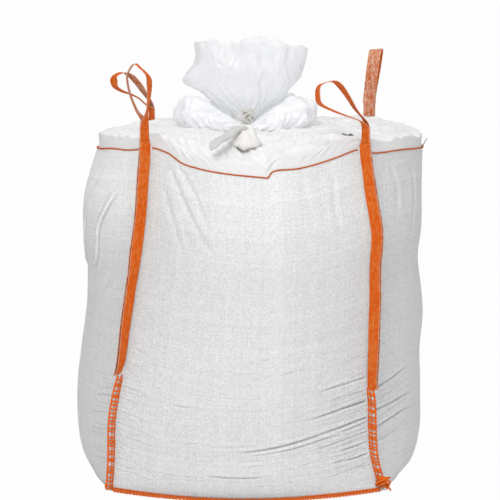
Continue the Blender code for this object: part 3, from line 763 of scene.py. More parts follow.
TIE_TAPE = woven('tie_tape', tint=(.70, .69, .68), tape=.0016, contrast=1.5)
TIE_BAND = woven('liner_tie_band', tint=(.84, .84, .80), tape=.0012)
SKIRT_MOUTH = woven('skirt_mouth', tint=(.90, .885, .86), tape=.0022, contrast=.6)
# painted shadow: near-black cloth for the dark lines laid on the skirt where it is in shade
SKIRT_SHADOW_PAINT = woven('skirt_turned_edge', tint=(.15, .115, .09), tape=.0022, contrast=.6)
TIE_KNOT = woven('liner_tie_knot', tint=(.72, .69, .64), tape=.0012)

# ------------------------------------------------------------ panel creases
# The front's long drag folds, before they are lowered and flattened:
# width, depth, (fade at the start, at the end), points (across, z)
SWEEPS = [
    (.005, .0042, (0, .45), [(.44, .262), (.30, .225), (.17, .185), (.06, .160), (-.05, .150),
                             (-.14, .152)]),
    (.004, .0030, (0, .5), [(.44, .250), (.33, .212), (.20, .172), (.10, .150), (0, .138),
                            (-.08, .140)]),
    (.005, .0044, (0, .6), [(.44, .318), (.36, .300), (.26, .275), (.16, .252)]),
    (.0045, .0036, (0, .6), [(.44, .216), (.36, .195), (.27, .172), (.20, .160)]),
    (.004, .0028, (0, .6), [(.44, .180), (.36, .165), (.28, .148)]),
    (.0045, .0030, (0, .6), [(.44, .145), (.37, .128), (.30, .118)]),
    (.0045, .0030, (0, .6), [(.44, .395), (.36, .380), (.27, .360), (.20, .345)]),
    (.0045, .0026, (.3, .4), [(.10, .112), (.02, .103), (-.08, .106), (-.16, .114)]),
    (.0055, .0012, (.3, .4), [(.06, .214), (-.02, .206), (-.10, .205), (-.17, .212)]),
    (.004, .0018, (.3, .5), [(.10, .435), (.02, .420), (-.02, .415)]),
    (.004, .0018, (.2, .5), [(.25, .455), (.16, .440), (.08, .420)]),
]
# Drawn creases: steps between points, width, depth, fades, points (across, z)
DRAWN = {
    'front': [      # slack folds below the hem
        (6, .016, .0050, (.1, .5), [(-.36, 1.07), (-.30, .98), (-.24, .90), (-.17, .82),
                                    (-.10, .74)]),
        (6, .013, .0040, (.1, .5), [(-.33, 1.08), (-.25, 1.00), (-.20, .93), (-.16, .86)]),
        (6, .014, .0036, (.1, .5), [(-.38, 1.00), (-.33, .90), (-.28, .80), (-.24, .72)]),
        (5, .020, .0022, (.2, .5), [(.03, 1.02), (.04, .90), (.03, .78)]),
        (5, .020, .0022, (.2, .5), [(-.10, 1.03), (-.09, .93), (-.11, .85)]),
        (5, .020, .0024, (.2, .5), [(.20, 1.05), (.24, .95), (.25, .84)]),
        (5, .014, .0026, (.2, .5), [(.35, 1.06), (.33, .95), (.36, .82)])],
    'right': [      # three drag folds, then slack folds below the hem
        (6, .0050, .0042, (0, .6), [(-.44, .335), (-.36, .350), (-.27, .372), (-.18, .385)]),
        (6, .0048, .0040, (0, .6), [(-.44, .262), (-.36, .272), (-.25, .285), (-.16, .288)]),
        (6, .0048, .0038, (0, .6), [(-.44, .200), (-.36, .222), (-.27, .236), (-.18, .240)]),
        (5, .016, .0040, (.2, .5), [(-.20, 1.06), (-.17, .95), (-.21, .84), (-.18, .74)]),
        (5, .018, .0034, (.2, .5), [(0, 1.05), (.03, .93), (0, .80)]),
        (5, .014, .0036, (.2, .5), [(-.33, 1.06), (-.30, .98), (-.32, .86)]),
        (5, .018, .0034, (.2, .5), [(.2, 1.04), (.22, .92), (.18, .80)])],
    'back': [
        (6, .016, .0045, (.1, .5), [(-.25, 1.06), (-.20, .95), (-.14, .84), (-.08, .76)]),
        (6, .016, .0045, (.1, .5), [(.30, 1.06), (.25, .95), (.24, .84)]),
        (6, .020, .0035, (.1, .5), [(.05, 1.05), (.08, .93), (.04, .80)])],
    'left': [       # two sharp raised folds, the hollows under them, slack folds
        (6, .0070, -.0044, (.2, .15), [(.33, .98), (.27, .90), (.235, .84), (.225, .78),
                                       (.205, .73), (.165, .70)]),
        (6, .0070, -.0042, (.25, .2), [(.12, .90), (.10, .82), (.06, .74), (0, .70),
                                       (-.05, .67)]),
        (6, .016, .0060, (.1, .4), [(.34, .70), (.26, .64), (.20, .62), (.12, .60)]),
        (6, .012, .0050, (.2, .4), [(.24, .70), (.22, .64), (.23, .58)]),
        (6, .012, .0045, (.2, .4), [(.16, .69), (.13, .63), (.14, .57)]),
        (6, .014, .0045, (.2, .4), [(.02, .69), (0, .62), (-.03, .56)]),
        (6, .016, .0040, (.1, .4), [(.38, 1.05), (.30, .99), (.20, .97), (.10, .98)]),
        (6, .018, .0040, (.1, .4), [(.22, 1.04), (.14, .95), (.04, .86)]),
        (6, .018, .0040, (.1, .4), [(-.2, 1.04), (-.22, .9), (-.18, .78)])],
}
# Fans of creases from a seam: side (-1 left seam, 1 right), z from, z to,
# count, reach, drop, seed, depth, width
FANS = {
    'front': [(1, .09, .34, 34, .28, .040, 3, .0021, .0028),
              (1, .34, .66, 20, .22, .034, 4, .0013, .0032),
              (-1, .08, .36, 22, .20, .036, 5, .0015, .0030),
              (-1, .36, .55, 6, .12, .030, 6, .0010, .0045)],
    'right': [(-1, .14, .36, 12, .34, -.050, 13, .0020, .0045),
              (-1, .36, .70, 8, .22, -.030, 14, .0013, .0050),
              (1, .12, .40, 12, .25, .050, 15, .0016, .0045)],
    'back': [(1, .12, .42, 14, .28, .055, 33, .0020, .0045),
             (-1, .12, .42, 14, .24, .050, 34, .0020, .0045)],
    'left': [(1, .10, .38, 12, .25, .040, 23, .0018, .0045),
             (-1, .10, .40, 12, .26, .050, 24, .0016, .0045)],
}
WIDE_CREASE = .0085     # from this width on, creases count as slack folds


def fan(side, z_low, z_high, count, reach, drop, seed, depth, width):
    """Creases that spread from a corner seam towards the middle."""
    r = np.random.RandomState(seed)
    out = []
    for i in range(count):
        f = (i + .5) / count + r.uniform(-.3, .3) / count
        z = z_low + (z_high - z_low) * f
        length = reach * r.uniform(.45, 1.0)
        fall = drop * r.uniform(.6, 1.25) * (length / reach) ** .8
        points = [(side * .44 - side * (length * t),
                   z - fall * (t ** .85) + .004 * math.sin(i * 2.1 + 5 * t))
                  for t in (0, .25, .5, .75, 1)]
        out.append((smooth_line(points, 4), width * r.uniform(.6, 1.3),
                    depth * r.uniform(.4, 1.2), (0, .65)))
    return out


def swept_creases():
    """The front's long folds, each lowered and drawn nearer to level."""
    out = []
    for width, depth, fades, points in SWEEPS:
        z0 = points[0][1]
        line = [(x, z0 - .014 - .62 * (z0 - z)) for x, z in points]
        out.append((smooth_line(line, 6), width, depth, fades))
    return out


def stray_creases():
    """Short stray creases over the filled lower half of the front."""
    r = np.random.RandomState(77)
    out = []
    for _ in range(46):
        x, z = r.uniform(-.34, .36), .06 + .46 * r.uniform(0, 1) ** 1.3
        reach = r.uniform(.03, .10)
        rise = reach * (.04 + .18 * (x + .20) + r.uniform(-.08, .08))
        points = [(x - reach, z - rise), (x, z + .003 * r.uniform(-1, 1)),
                  (x + reach, z + rise)]
        out.append((smooth_line(points, 4), .0030 * r.uniform(.8, 1.4),
                    .0011 * r.uniform(.5, 1.3), (.4, .4)))
    return out


def panel_creases(name):
    out = swept_creases() + stray_creases() if name == 'front' else []
    for row in FANS[name]:
        out += fan(*row)
    for steps, width, depth, fades, points in DRAWN[name]:
        out.append((smooth_line(points, steps), width, depth, fades))
    return out


CREASES = {name: panel_creases(name) for name in PANELS}


def crease_field(across, up, creases):
    """Sum of pinched folds at points (across, up). Each fades to its ends."""
    out = np.zeros_like(across)
    for line, width, depth, fades in creases:
        steps = np.diff(line, axis=0)
        lengths = np.linalg.norm(steps, axis=1)
        passed = np.concatenate([[0], np.cumsum(lengths)])
        low = line.min(0) - 6 * width
        high = line.max(0) + 6 * width
        near = (across > low[0]) & (across < high[0]) & (up > low[1]) & (up < high[1])
        if not near.any():
            continue
        s, z = across[near], up[near]
        best = np.full(s.shape, 1e9)
        signed = np.zeros_like(s)
        along = np.zeros_like(s)
        for start, step, length, before in zip(line, steps, lengths, passed):
            d = step / length
            qx, qz = s - start[0], z - start[1]
            a = np.clip(qx * d[0] + qz * d[1], 0, length)
            distance = np.hypot(qx - a * d[0], qz - a * d[1])
            side = np.sign(-qx * d[1] + qz * d[0])
            nearer = distance < best
            best = np.where(nearer, distance, best)
            signed = np.where(nearer, side * distance, signed)
            along = np.where(nearer, before + a, along)
        t = along / passed[-1]
        for fade, from_end in zip(fades, (t, 1 - t)):
            if fade > 0:
                depth = depth * ease(0, fade, from_end)
        end = np.exp(-((best - np.abs(signed)) / (1.2 * width)) ** 2)
        # a sharp valley between a high and a low shoulder
        x = signed / width
        profile = (-1.15 * np.exp(-np.abs(x) ** 1.3 * 2.0)
                   + .62 * np.exp(-(x - 1.35) ** 2 * 1.2) + .30 * np.exp(-(x + 1.7) ** 2 * .9))
        out[near] += depth * end * profile
    return out


def relief(name, u, v, z):
    """Height of folds, dents and small crumpling above the smooth surface,
    and the height of the narrow folds alone."""
    s = u * HALF_RUN
    seed = PANEL_SEED[name]
    edge = sstep_edge = ease(1.0, .86, np.abs(u))
    q = pack(s, z, seed * .1)
    lumps = .0035 * noise(q * 4.2, seed) + .0016 * noise(q * 11, seed + 1)
    # slack cloth near the hem hangs in soft upright folds
    slack = .0055 * noise_at(s * 9, z * 2.2, 0, seed + 2) * ease(.72, .98, v)
    tiny = .00055 * crumple(q * 26, seed + 3, 2) * (.35 + .65 * ease(.5, .95, v))
    # drag lines that run into the seams
    drag = noise_at(s * 3.0, z * 30 - np.abs(s) * 9 * np.sign(z - .15), 3., seed + 4)
    drag = .0011 * drag * ease(.35, .95, np.abs(u)) * ease(1.0, .975, np.abs(u))
    out = (lumps + slack) * edge + tiny + drag
    keep = ease(1.0, .97, np.abs(u))
    creases = CREASES[name]
    folds = crease_field(s, z, [c for c in creases if c[1] < WIDE_CREASE]) * keep
    wide = crease_field(s, z, [c for c in creases if c[1] >= WIDE_CREASE]) * keep
    out += folds * 1.5 + .95 * wide
    out *= ease(0, .02, v)
    out *= 1 - .7 * ease(.985, 1.0, v)
    return out, folds


# ------------------------------------------------------------ panels, base
def panel_grid(name):
    """Columns u, and the (u, v) grid whose rows follow the drag folds."""
    z = np.concatenate([np.arange(0, .05, .0035), np.arange(.05, .47, .0026),
                        np.arange(.47, 1.10, .0055)])
    rows = np.concatenate([z / CLOTH_RISE, [1.0 - .002, 1.0]])
    columns = np.linspace(-1, 1, 162)
    columns = np.sign(columns) * (1 - (1 - np.abs(columns)) ** 1.10)
    u, v = np.meshgrid(columns, rows)
    z = v * CLOTH_RISE
    dip = ease(.0, .24, z) * ease(.80, .38, z)
    return columns, u, v - curve(ROW_DIP[name], u) * dip / CLOTH_RISE


def make_panel(name):
    columns, u, v = panel_grid(name)
    P, normals = surf(name, u, v)
    height, folds = relief(name, u, v, P[..., 2])
    P = P + normals * height[..., None]
    # seam allowances: out along the corner ridge at both ends
    allowances = []
    for corner, way, end in zip(PANELS[name], (1, -1), (0, -1)):
        rise = v[:, end]
        c = corner_point(corner, rise)
        r, t = seam_dirs(corner, c[:, 2])
        t = t * way
        wobble = .0012 * noise_at(rise * 60, way, 0, 9)
        strips = [c + r * (SEAM_WIDTH * share) + t * .0012 for share in (.92, .6, .3)]
        strips[0] = strips[0] + r * wobble[:, None]
        strips.append(c + r * .0015 + t * .0014)
        P[:, end] = c + t * .0022
        allowances.append(np.stack(strips[::way], 1))
    P = np.concatenate([allowances[0], P, allowances[1]], 1)
    outer = [1.045, 1.035, 1.02, 1.005]
    across = np.concatenate([np.negative(outer), columns, outer[::-1]])
    v = np.pad(v, ((0, 0), (4, 4)), mode='edge')
    cloth = {'left': CLOTH_LEFT_LIGHT_AND_SHADE, 'right': CLOTH_RIGHT_SHADED}.get(name, CLOTH_FRONT)
    ob = grid_mesh('panel_' + name, P, pack(across[None] * HALF_RUN, v * 1.11), cloth)
    fold = ob.data.attributes.new('fold', 'FLOAT', 'POINT')
    folds = np.pad(folds, ((0, 0), (4, 4)))
    fold.data.foreach_set('value', folds.reshape(-1).astype(np.float32))
    thicken(ob, .0011)
    register(ob, 'side_panel_' + name)


def make_base():
    count = 200
    inner, u = panel_loop(count, 0., lambda name, u: rim_inset(name, u) + RIM_OUT)
    outer, _ = panel_loop(count, 0., rim_inset)
    rings = []
    for share in (.02, .2, .4, .6, .75, .85, .93):
        ring = inner * share
        ring[:, 2] = 0 if share <= .85 else floor_rise(u) * .30
        rings.append(ring)
    for ring in (inner, outer):
        ring[:, 2] = floor_rise(u)
        rings.append(ring)
    low = np.array(rings)
    wrinkle = .0004 * noise(low * [40, 40, 0], 61)
    low[..., 2] += np.abs(wrinkle) * (low[..., 2] > .001)
    both = np.concatenate([low, (low + [0, 0, .0018])[::-1]], 0)
    ob = grid_mesh('base_cloth', both, both[..., :2], CLOTH_BASE, closed=True)
    close_caps(ob, count)
    register(ob, 'base_panel')


# ---------------------------------------------------------------- stitching
def stitch_arch(along, pitch, share):
    """0 to 1 over each stitch, which fills a share of the pitch."""
    t = np.mod(along, pitch) / pitch
    return np.sin(np.pi * np.clip(t / share, 0, 1)) * (t < share)


def overlock_path(corner, z_from, z_to, pitch, seed, bulk):
    """Thread that wraps the seam ridge: up one face, over the tip, down the
    other, stepping up the seam as it goes."""
    r = np.random.RandomState(seed)
    tip = SEAM_WIDTH + .0008
    side = .0024 + bulk
    stations = []
    for i in range(int((z_to - z_from) / pitch)):
        z = z_from + i * pitch
        jitter = r.uniform(-.38, .38) * pitch
        shift = r.uniform(-.0022, .0022)
        # (out, share of the side distance, share of the pitch climbed)
        for out, aside, climb in (
                (.0025 + shift, .9, 0), (.35 * tip, 1.1, .14), (.75 * tip, 1.05, .30),
                (tip, .45, .42), (tip, -.45, .48), (.75 * tip, -1.05, .60),
                (.35 * tip, -1.1, .76), (.0025 - shift, -.9, .90)):
            stations.append((z + climb * pitch + jitter, out, aside * side))
    return smooth_line(seam_at(corner, *np.array(stations).T), 2)


def make_overlock(corner):
    index = CORNERS.index(corner)
    pitch = .0122 if SIGN[corner][0] < 0 else .0112
    end = STRAP_END[corner]
    head = SEAM_HEAD - .012
    low = overlock_path(corner, SEAM_FOOT, end + .002, pitch, 50 + index, .0020)
    obs = [tube('overlock_low', low, .0029, THREAD, 7)]
    high = overlock_path(corner, end + .006, head, pitch, 60 + index, -.0006)
    obs.append(tube('overlock_high', high, .00055, THREAD, 5))
    # chains up the seam: out, aside, radius, share of the pitch, sway
    chains = [(.0030, .0042, .00165, 1, .0012), (.0030, -.0042, .00165, 1, .0012),
              (SEAM_WIDTH + .0016, .0012, .0019, 1, .0012),
              (SEAM_WIDTH + .0012, -.0018, .0016, 1, .0012),
              (SEAM_WIDTH * .55, .0046, .0011, .5, .0022),
              (SEAM_WIDTH * .55, -.0046, .0011, .5, .0022),
              (SEAM_WIDTH + .0008, 0, .0006, 1, .0012)]
    for i, (out, aside, radius, share, sway) in enumerate(chains):
        # the last one runs up the tip above the webbing's end
        span = (SEAM_FOOT, end + .003) if i < 6 else (end + .006, head)
        z = np.arange(*span, pitch * share / 6)
        phase = TURN * z / (pitch * share)
        path = seam_at(corner, z, out + sway * np.sin(phase), aside + .3 * sway * np.cos(phase))
        obs.append(tube('chain', path, radius * (1 + .22 * np.sin(phase + i)), THREAD, 7))
    ob = join(obs, 'overlock_thread_' + corner)
    register(ob, 'corner_overlock_' + corner)


def make_base_overlock(name):
    """Thread wrapped round the base edge, with three chains along it."""
    r = np.random.RandomState(70 + list(PANELS).index(name))
    count, u_end = 82, .985
    u = np.linspace(-u_end, u_end, count)
    inset = rim_inset(name, u)
    rim, _ = surf(name, u, 0., inset - .0015)
    inner, _ = surf(name, u, 0., inset + .0105)
    stations = np.column_stack([inner[:, :2], rim[:, :2], floor_rise(u)])
    # one wrap: share of the stitch, share of the way out to the rim, z
    step, out, z = np.array([
        (0, .05, .0085), (.16, .5, .0075), (.32, .95, .0052), (.42, 1.10, .0016),
        (.55, 1.0, -.0016), (.75, .5, -.0018), (.92, .10, -.0016)]).T
    jitter = r.uniform(-.10, .10, count - 1)[:, None]
    place = np.arange(count - 1)[:, None] + np.clip(step + jitter, 0, 1)
    k = np.minimum(place.astype(int), count - 2)
    t = (place - k)[..., None]
    at = stations[k] * (1 - t) + stations[k + 1] * t
    xy = at[..., :2] + (at[..., 2:4] - at[..., :2]) * out[:, None]
    path = smooth_line(pack(xy[..., 0], xy[..., 1], at[..., 4] + z).reshape(-1, 3), 2)
    path[:, 2] = np.maximum(path[:, 2], .0019)
    obs = [tube('base_wrap', path, .0021, THREAD, 6)]
    f = np.linspace(0, 1, 900)
    u = -u_end + 2 * u_end * f
    # chains: height above the base edge, inset, sway
    chains = ((.0020, -.0030, .0007), (.0082, .0085, .0012), (.0050, .0010, .0014))
    for i, (lift, inset, sway) in enumerate(chains):
        edge, _ = surf(name, u, 0., rim_inset(name, u) + inset)
        phase = f * TURN * 81 + i
        edge[:, 2] = floor_rise(u) + lift + sway * np.sin(phase)
        obs.append(tube('base_chain', edge, .0017 + .0003 * np.cos(phase), THREAD, 6))
    ob = join(obs, 'base_thread_' + name)
    register(ob, 'base_overlock_' + name)


def make_hem_stitch(name):
    u = np.linspace(-.985, .985, 900)
    low = panel_foot(u)
    v = (curve(HEM[name], u) - low) / (hem_z(name, u) - low)
    P, normals = surf(name, u, v)
    height, _ = relief(name, u, v, P[:, 2])
    s = u * HALF_RUN
    arch = stitch_arch(s, pitch=.0092, share=.86) ** .5
    P = P + normals * (height + .0014 + .0010 * arch)[:, None]
    P[:, 2] += .0007 * noise_at(s * 40, 0, 0, 77)
    ob = tube('hem_thread_' + name, P, .0014 + .0016 * arch, HEM_THREAD, 6)
    register(ob, 'hem_stitch_' + name)


# ----------------------------------------------------------------- webbing
def ribbon_mesh(name, centres, widths, normals):
    """Webbing: a rounded flat section carried along a line. The normal side
    takes the face material, the other the reverse."""
    # top of the section from edge to edge, then back underneath
    xs = np.array([-1, -.97, -.9, -.6, -.3, 0, .3, .6, .9, .97, 1])
    top = np.array([0, .75, 1, 1, .96, .94, .96, 1, 1, .75, 0])
    sx = np.concatenate([xs, xs[1:-1][::-1]])
    sy = np.concatenate([top, -top[1:-1][::-1]])
    lengths = np.linalg.norm(np.diff(centres, axis=0), axis=1)
    along = np.concatenate([[0], np.cumsum(lengths)])[:, None]
    scallop = .0006 * np.abs(np.sin(np.pi * along / .0070))
    across = sx * WEB_WIDTH / 2 - np.sign(sx) * (np.abs(sx) > .95) * scallop
    rows = (centres[:, None] + widths[:, None] * across[..., None]
            + normals[:, None] * (sy * WEB_THICK / 2)[:, None])
    ob = grid_mesh(name, rows, pack((sx + 1) / 2 * WEB_WIDTH, along), WEB_FACE, WEB_REVERSE,
                   closed=True, unwrap=False)
    close_caps(ob, len(sx))
    for p in ob.data.polygons:
        if len(p.vertices) == 4:
            p.material_index = int(max(i % len(sx) for i in p.vertices) >= len(xs))
    return ob


def turn(v, angle):
    """Vector v turned about z."""
    c, s = np.cos(angle), np.sin(angle)
    return pack(v[0] * c - v[1] * s, v[0] * s + v[1] * c, 0.)


def frames_for(centres, widths):
    """Width directions squared to the line, and the normals."""
    T = np.gradient(centres, axis=0)
    T /= np.linalg.norm(T, axis=1)[:, None] + 1e-12
    W = widths - T * (widths * T).sum(1)[:, None]
    W /= np.linalg.norm(W, axis=1)[:, None]
    return W, np.cross(W, T)


class Strap:
    """Shared geometry of one corner's webbing: two plies on the seam ridge
    that turn into the two sides of a neck, and the eye above it."""

    def __init__(self, corner):
        self.corner = corner
        self.index = CORNERS.index(corner)
        self.flop = PIVOT['loop_flop_' + corner]
        self.swing = PIVOT['loop_swing_' + corner]
        self.end = STRAP_END[corner]
        self.neck_mid = self.flop[2] + .0165
        self.low_width = low = radial(corner)
        plane = math.radians(LOOPS[corner]['plane'])
        self.across = np.array([math.cos(plane), math.sin(plane), 0.])
        high = np.array([-self.across[1], self.across[0], 0.])
        self.high_width = high = -high if high @ low < 0 else high
        self.angle = math.atan2(low[0] * high[1] - low[1] * high[0], low @ high)

    def neck_width(self, z):
        """Width direction of the neck at heights z."""
        span = self.swing[2] - self.flop[2] - NECK_SPAN_CUT
        share = np.clip((z - self.flop[2]) / span, 0, 1)
        return turn(self.low_width, self.angle * NECK_TWIST * share)

    def ply(self, z, way):
        """Gap under a ply, its outward wander, the corner and its width
        direction at heights z; way is 1 or -1 for the side of the ridge."""
        f = ease(self.flop[2] - .050, self.flop[2] + .004, z)
        gap = .0028 * (1 - f) + .0013 * f
        gap = gap + .0012 * np.abs(noise_at(z * 6, way * 7.7, self.index, 92)) * (1 - f)
        wander = (.0020 * noise_at(z * 11, way * 3.1, self.index * 5., 91)
                  * ease(self.end, self.end + .1, z) * (1 - f))
        ridge, _ = seam_dirs(self.corner, z)
        widths = np.where((z < self.flop[2])[:, None], ridge, self.neck_width(z))
        return gap, wander, corner_line(self.corner, z, 500), widths

    def blend(self, ob, lower, upper, pivot, below):
        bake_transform(ob)


def cut_slanting(ob, strap, start):
    """Slanting cut at the foot of a ply."""
    r = radial(strap.corner)
    for vertex in ob.data.vertices:
        z = vertex.co.z
        if z < strap.end + .05:
            out = (np.array(vertex.co) - start) @ r
            fade = 1 - ease(strap.end, strap.end + .05, z)
            vertex.co.z += .020 * fade * (.5 - out / WEB_WIDTH)


def make_legs(strap):
    """The two plies, from their foot to half way up the neck."""
    flop = strap.flop
    z = np.concatenate([np.arange(strap.end, flop[2] - .01, .005),
                        np.linspace(flop[2] - .008, strap.neck_mid, 14)])
    hem_top = height_at('front', 1.0, 1.0)
    obs = []
    for way in (1, -1):
        gap, wander, c, widths = strap.ply(z, way)
        normals = np.cross(UP, widths) * way
        c = c + widths * (WEB_ROOT + WEB_WIDTH / 2 + wander)[:, None]
        # above the hem the plies stand over the flop pivot
        k = ease(hem_top, hem_top + .012, z)[:, None]
        c = pack(flop[0], flop[1], z) * k + c * (1 - k)
        c = c + normals * (gap + WEB_THICK / 2)[:, None]
        W, faces = frames_for(c, widths)
        if faces[0] @ normals[0] < 0:
            faces = -faces
        ob = ribbon_mesh('ply', c, W, faces)
        if SIGN[strap.corner][0] < 0:
            cut_slanting(ob, strap, c[0])
        obs.append(ob)
    corner = strap.corner
    ob = join(obs, 'webbing_legs_' + corner)
    strap.blend(ob, 'root', 'loop_base_' + corner, flop, below=.003)
    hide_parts('strap_%s_ply_a' % corner, 'strap_%s_ply_b' % corner)


def eye_line(strap, line):
    """Centres and width directions round the eye."""
    loop = LOOPS[strap.corner]
    p = smooth_line(line, 12)
    x, z = p[:, :1], p[:, 1:]
    centres = (strap.swing + strap.across * x + UP * z
               + strap.high_width * loop.get('lean', 0) * np.maximum(z - .03, 0))
    share = NECK_TWIST + (1 - NECK_TWIST) * np.maximum(p[:, 1], 0) / .085
    widths = turn(strap.low_width, strap.angle * np.minimum(1, share))
    g = np.linspace(0, 1, len(p))
    k = (ease(0, .16, g) * ease(1.0, .84, g))[:, None]
    face = np.array(loop['face'])
    heading = np.radians(curve(face[:, :2], g))
    tilt = np.radians(curve(face[:, [0, 2]], g))
    drawn = pack(np.cos(heading) * np.cos(tilt), np.sin(heading) * np.cos(tilt), np.sin(tilt))
    return centres, widths * (1 - k) + drawn * k


def make_loop(strap):
    """Upper half of the neck, and the eye carried round from side to side."""
    corner, swing = strap.corner, strap.swing
    half = WEB_THICK / 2 + .0002
    low_normal = np.cross(turn(strap.low_width, strap.angle * NECK_TWIST), UP)
    side = 1 if low_normal @ strap.across > 0 else -1
    line = np.vstack([[-half, .006], LOOPS[corner]['line'], [half, .006]])
    z = np.linspace(strap.neck_mid - swing[2], 0.0, 12)[:-1]
    neck_widths = strap.neck_width(swing[2] + z)
    neck = swing + UP * z[:, None]
    offset = np.cross(neck_widths, UP) * (side * half)
    eye, eye_widths = eye_line(strap, line)
    C = np.concatenate([neck - offset, eye, (neck + offset)[::-1]])
    W = np.concatenate([neck_widths, eye_widths, neck_widths[::-1]])
    # slight natural curl of the webbing along the eye
    share = np.linspace(0, 1, len(C))
    curl = .0025 * noise_at(share * 7, strap.index * 4.3, 0, 95) * np.sin(np.pi * share) ** 2
    C = C + W * curl[:, None]
    W, normals = frames_for(C, W)
    mid = len(C) // 2
    centre = swing + strap.across * line[:, 0].mean() + UP * line[:, 1].mean()
    outward = (C[mid] - centre) @ normals[mid] > 0
    if LOOPS[corner].get('swap'):
        outward = not outward
    ob = ribbon_mesh('webbing_eye_' + corner, C, W, normals if outward else -normals)
    if LOOPS[corner].get('plain'):
        ob.data.materials[1] = WEB_FACE
    strap.blend(ob, 'loop_base_' + corner, 'loop_' + corner, swing, below=.024)
    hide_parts('loop_neck_' + corner, 'lift_loop_' + corner)


def make_strap_stitching(strap):
    """Lockstitch seams down both edges of both plies."""
    margin = .0045
    z = np.arange(strap.end + .028, strap.flop[2] - .03, .0012)
    _, sideways = seam_dirs(strap.corner, z)
    arch = stitch_arch(z, pitch=.0085, share=.8)
    obs = []
    for way in (1, -1):
        gap, wander, c, widths = strap.ply(z, way)
        for place in (margin, WEB_WIDTH - margin):
            out = way * (gap + WEB_THICK + .0001 + .0004 * arch)
            path = (c + widths * (WEB_ROOT + place + wander)[:, None]
                    + sideways * out[:, None])
            obs.append(tube('lockstitch', path, .00025 + .00045 * arch, THREAD, 5))
    ob = join(obs, 'webbing_stitching_' + strap.corner)
    register(ob, 'strap_stitching_' + strap.corner)


def make_strap(corner):
    strap = Strap(corner)
    make_legs(strap)
    make_loop(strap)
    make_strap_stitching(strap)


# ------------------------------------------------------------ cloth solver
def settle(P, X, ring, run, pin, steps, goal, bend, damp=.93):
    """Cloth solver for a sheet (rows by columns) closed round the columns.
    Its own size is that of P times ring (round it) and run (along it), so
    spare cloth buckles and folds. pin is 1 where it is held; elsewhere it is
    drawn to P by goal. Stretch, shear and bending are solved in turn."""
    R, C = P.shape[:2]
    ring = np.broadcast_to(ring, (R, C))
    run = np.broadcast_to(run, (R, C))

    def size(A):
        return np.sqrt((A * A).sum(-1))
    round_length = size(np.roll(P, -1, 1) - P) * ring
    run_length = size(P[1:] - P[:-1]) * .5 * (run[1:] + run[:-1])
    mean_round = .5 * (round_length[1:] + round_length[:-1])
    diagonal = np.sqrt(mean_round * mean_round + run_length * run_length)
    round_bend = round_length + np.roll(round_length, -1, 1)
    run_bend = run_length[1:] + run_length[:-1]
    free = (1 - np.broadcast_to(pin, (R, C)))[..., None]
    X = X.copy()
    V = np.zeros_like(X)

    def pull(a, b, length, weight, push=True):
        d = b - a
        n = size(d) + 1e-9
        e = (n - length) / n
        if not push:
            e = np.minimum(e, 0)
        return d * (e * weight)[..., None]
    for _ in range(steps):
        old = X
        V *= damp
        X = X + V * free
        for _ in range(3):
            c = pull(X, np.roll(X, -1, 1), round_length, .42)
            X = X + (c - np.roll(c, 1, 1)) * free
            c = pull(X[:-1], X[1:], run_length, .42)
            X[:-1] += c * free[:-1]
            X[1:] -= c * free[1:]
            c = pull(X[:-1], np.roll(X[1:], -1, 1), diagonal, .12)
            X[:-1] += c * free[:-1]
            X[1:] -= np.roll(c, 1, 1) * free[1:]
            c = pull(X[1:], np.roll(X[:-1], -1, 1), diagonal, .12)
            X[1:] += c * free[1:]
            X[:-1] -= np.roll(c, 1, 1) * free[:-1]
            c = pull(X, np.roll(X, -2, 1), round_bend, bend, push=False)
            X = X + (c - np.roll(c, 2, 1)) * free
            c = pull(X[:-2], X[2:], run_bend, bend, push=False)
            X[:-2] += c * free[:-2]
            X[2:] -= c * free[2:]
        X += (P - X) * goal * free
        V = (X - old)
        # no point moves more than 6 mm in a step
        V *= np.minimum(1, .006 / (size(V) + 1e-9))[..., None]
    return X


# ------------------------------------------------------------------- skirt
# (degrees round from +x, height of the skirt's rolled rim above the hem)
SKIRT_RIM = [(-180, .044), (-135, .038), (-90, .036), (-45, .038), (0, .040), (25, .040),
             (45, .034), (70, .050), (90, .052), (115, .048), (135, .034), (155, .042),
             (180, .044)]


def skirt_plan(hem, th, T):
    """Smooth skirt, one row for each share T from the hem to the hole."""
    cos, sin = np.cos(th), np.sin(th)
    hole = pack(cos * .165, sin * .150, 1.158)
    rim = curve(SKIRT_RIM, np.degrees(th))
    rim = rim + .007 * noise_at(cos * 5.3, sin * 5.3, 0, 480)
    rim = rim + .006 * noise_at(cos * 15, sin * 15, 0, 481)
    back = ease(-.2, .5, sin)
    P = np.zeros((len(T), len(th), 3))
    for i, t in enumerate(T):
        g = np.clip((t - .16) / .84, 0, 1)
        q = hem * (1 - g) + hole * g
        q[:, 2] = ((hem[:, 2] - .012 + .012 * ease(0, .04, t))
                   + rim * np.sin(np.pi / 2 * np.clip(t / .17, 0, 1)))
        inner_z = SKIRT_TOP + .006 * np.sin(np.pi * np.clip(g * 1.1, 0, 1)) + .006 * g
        k = ((.55 * ease(.0, .60, g) + .45 * g) * (1 - back)
             + (.4 * ease(0, .7, g) + .6 * g) * back)
        q[:, 2] = q[:, 2] * (1 - k) + inner_z * k
        P[i] = q
    return P


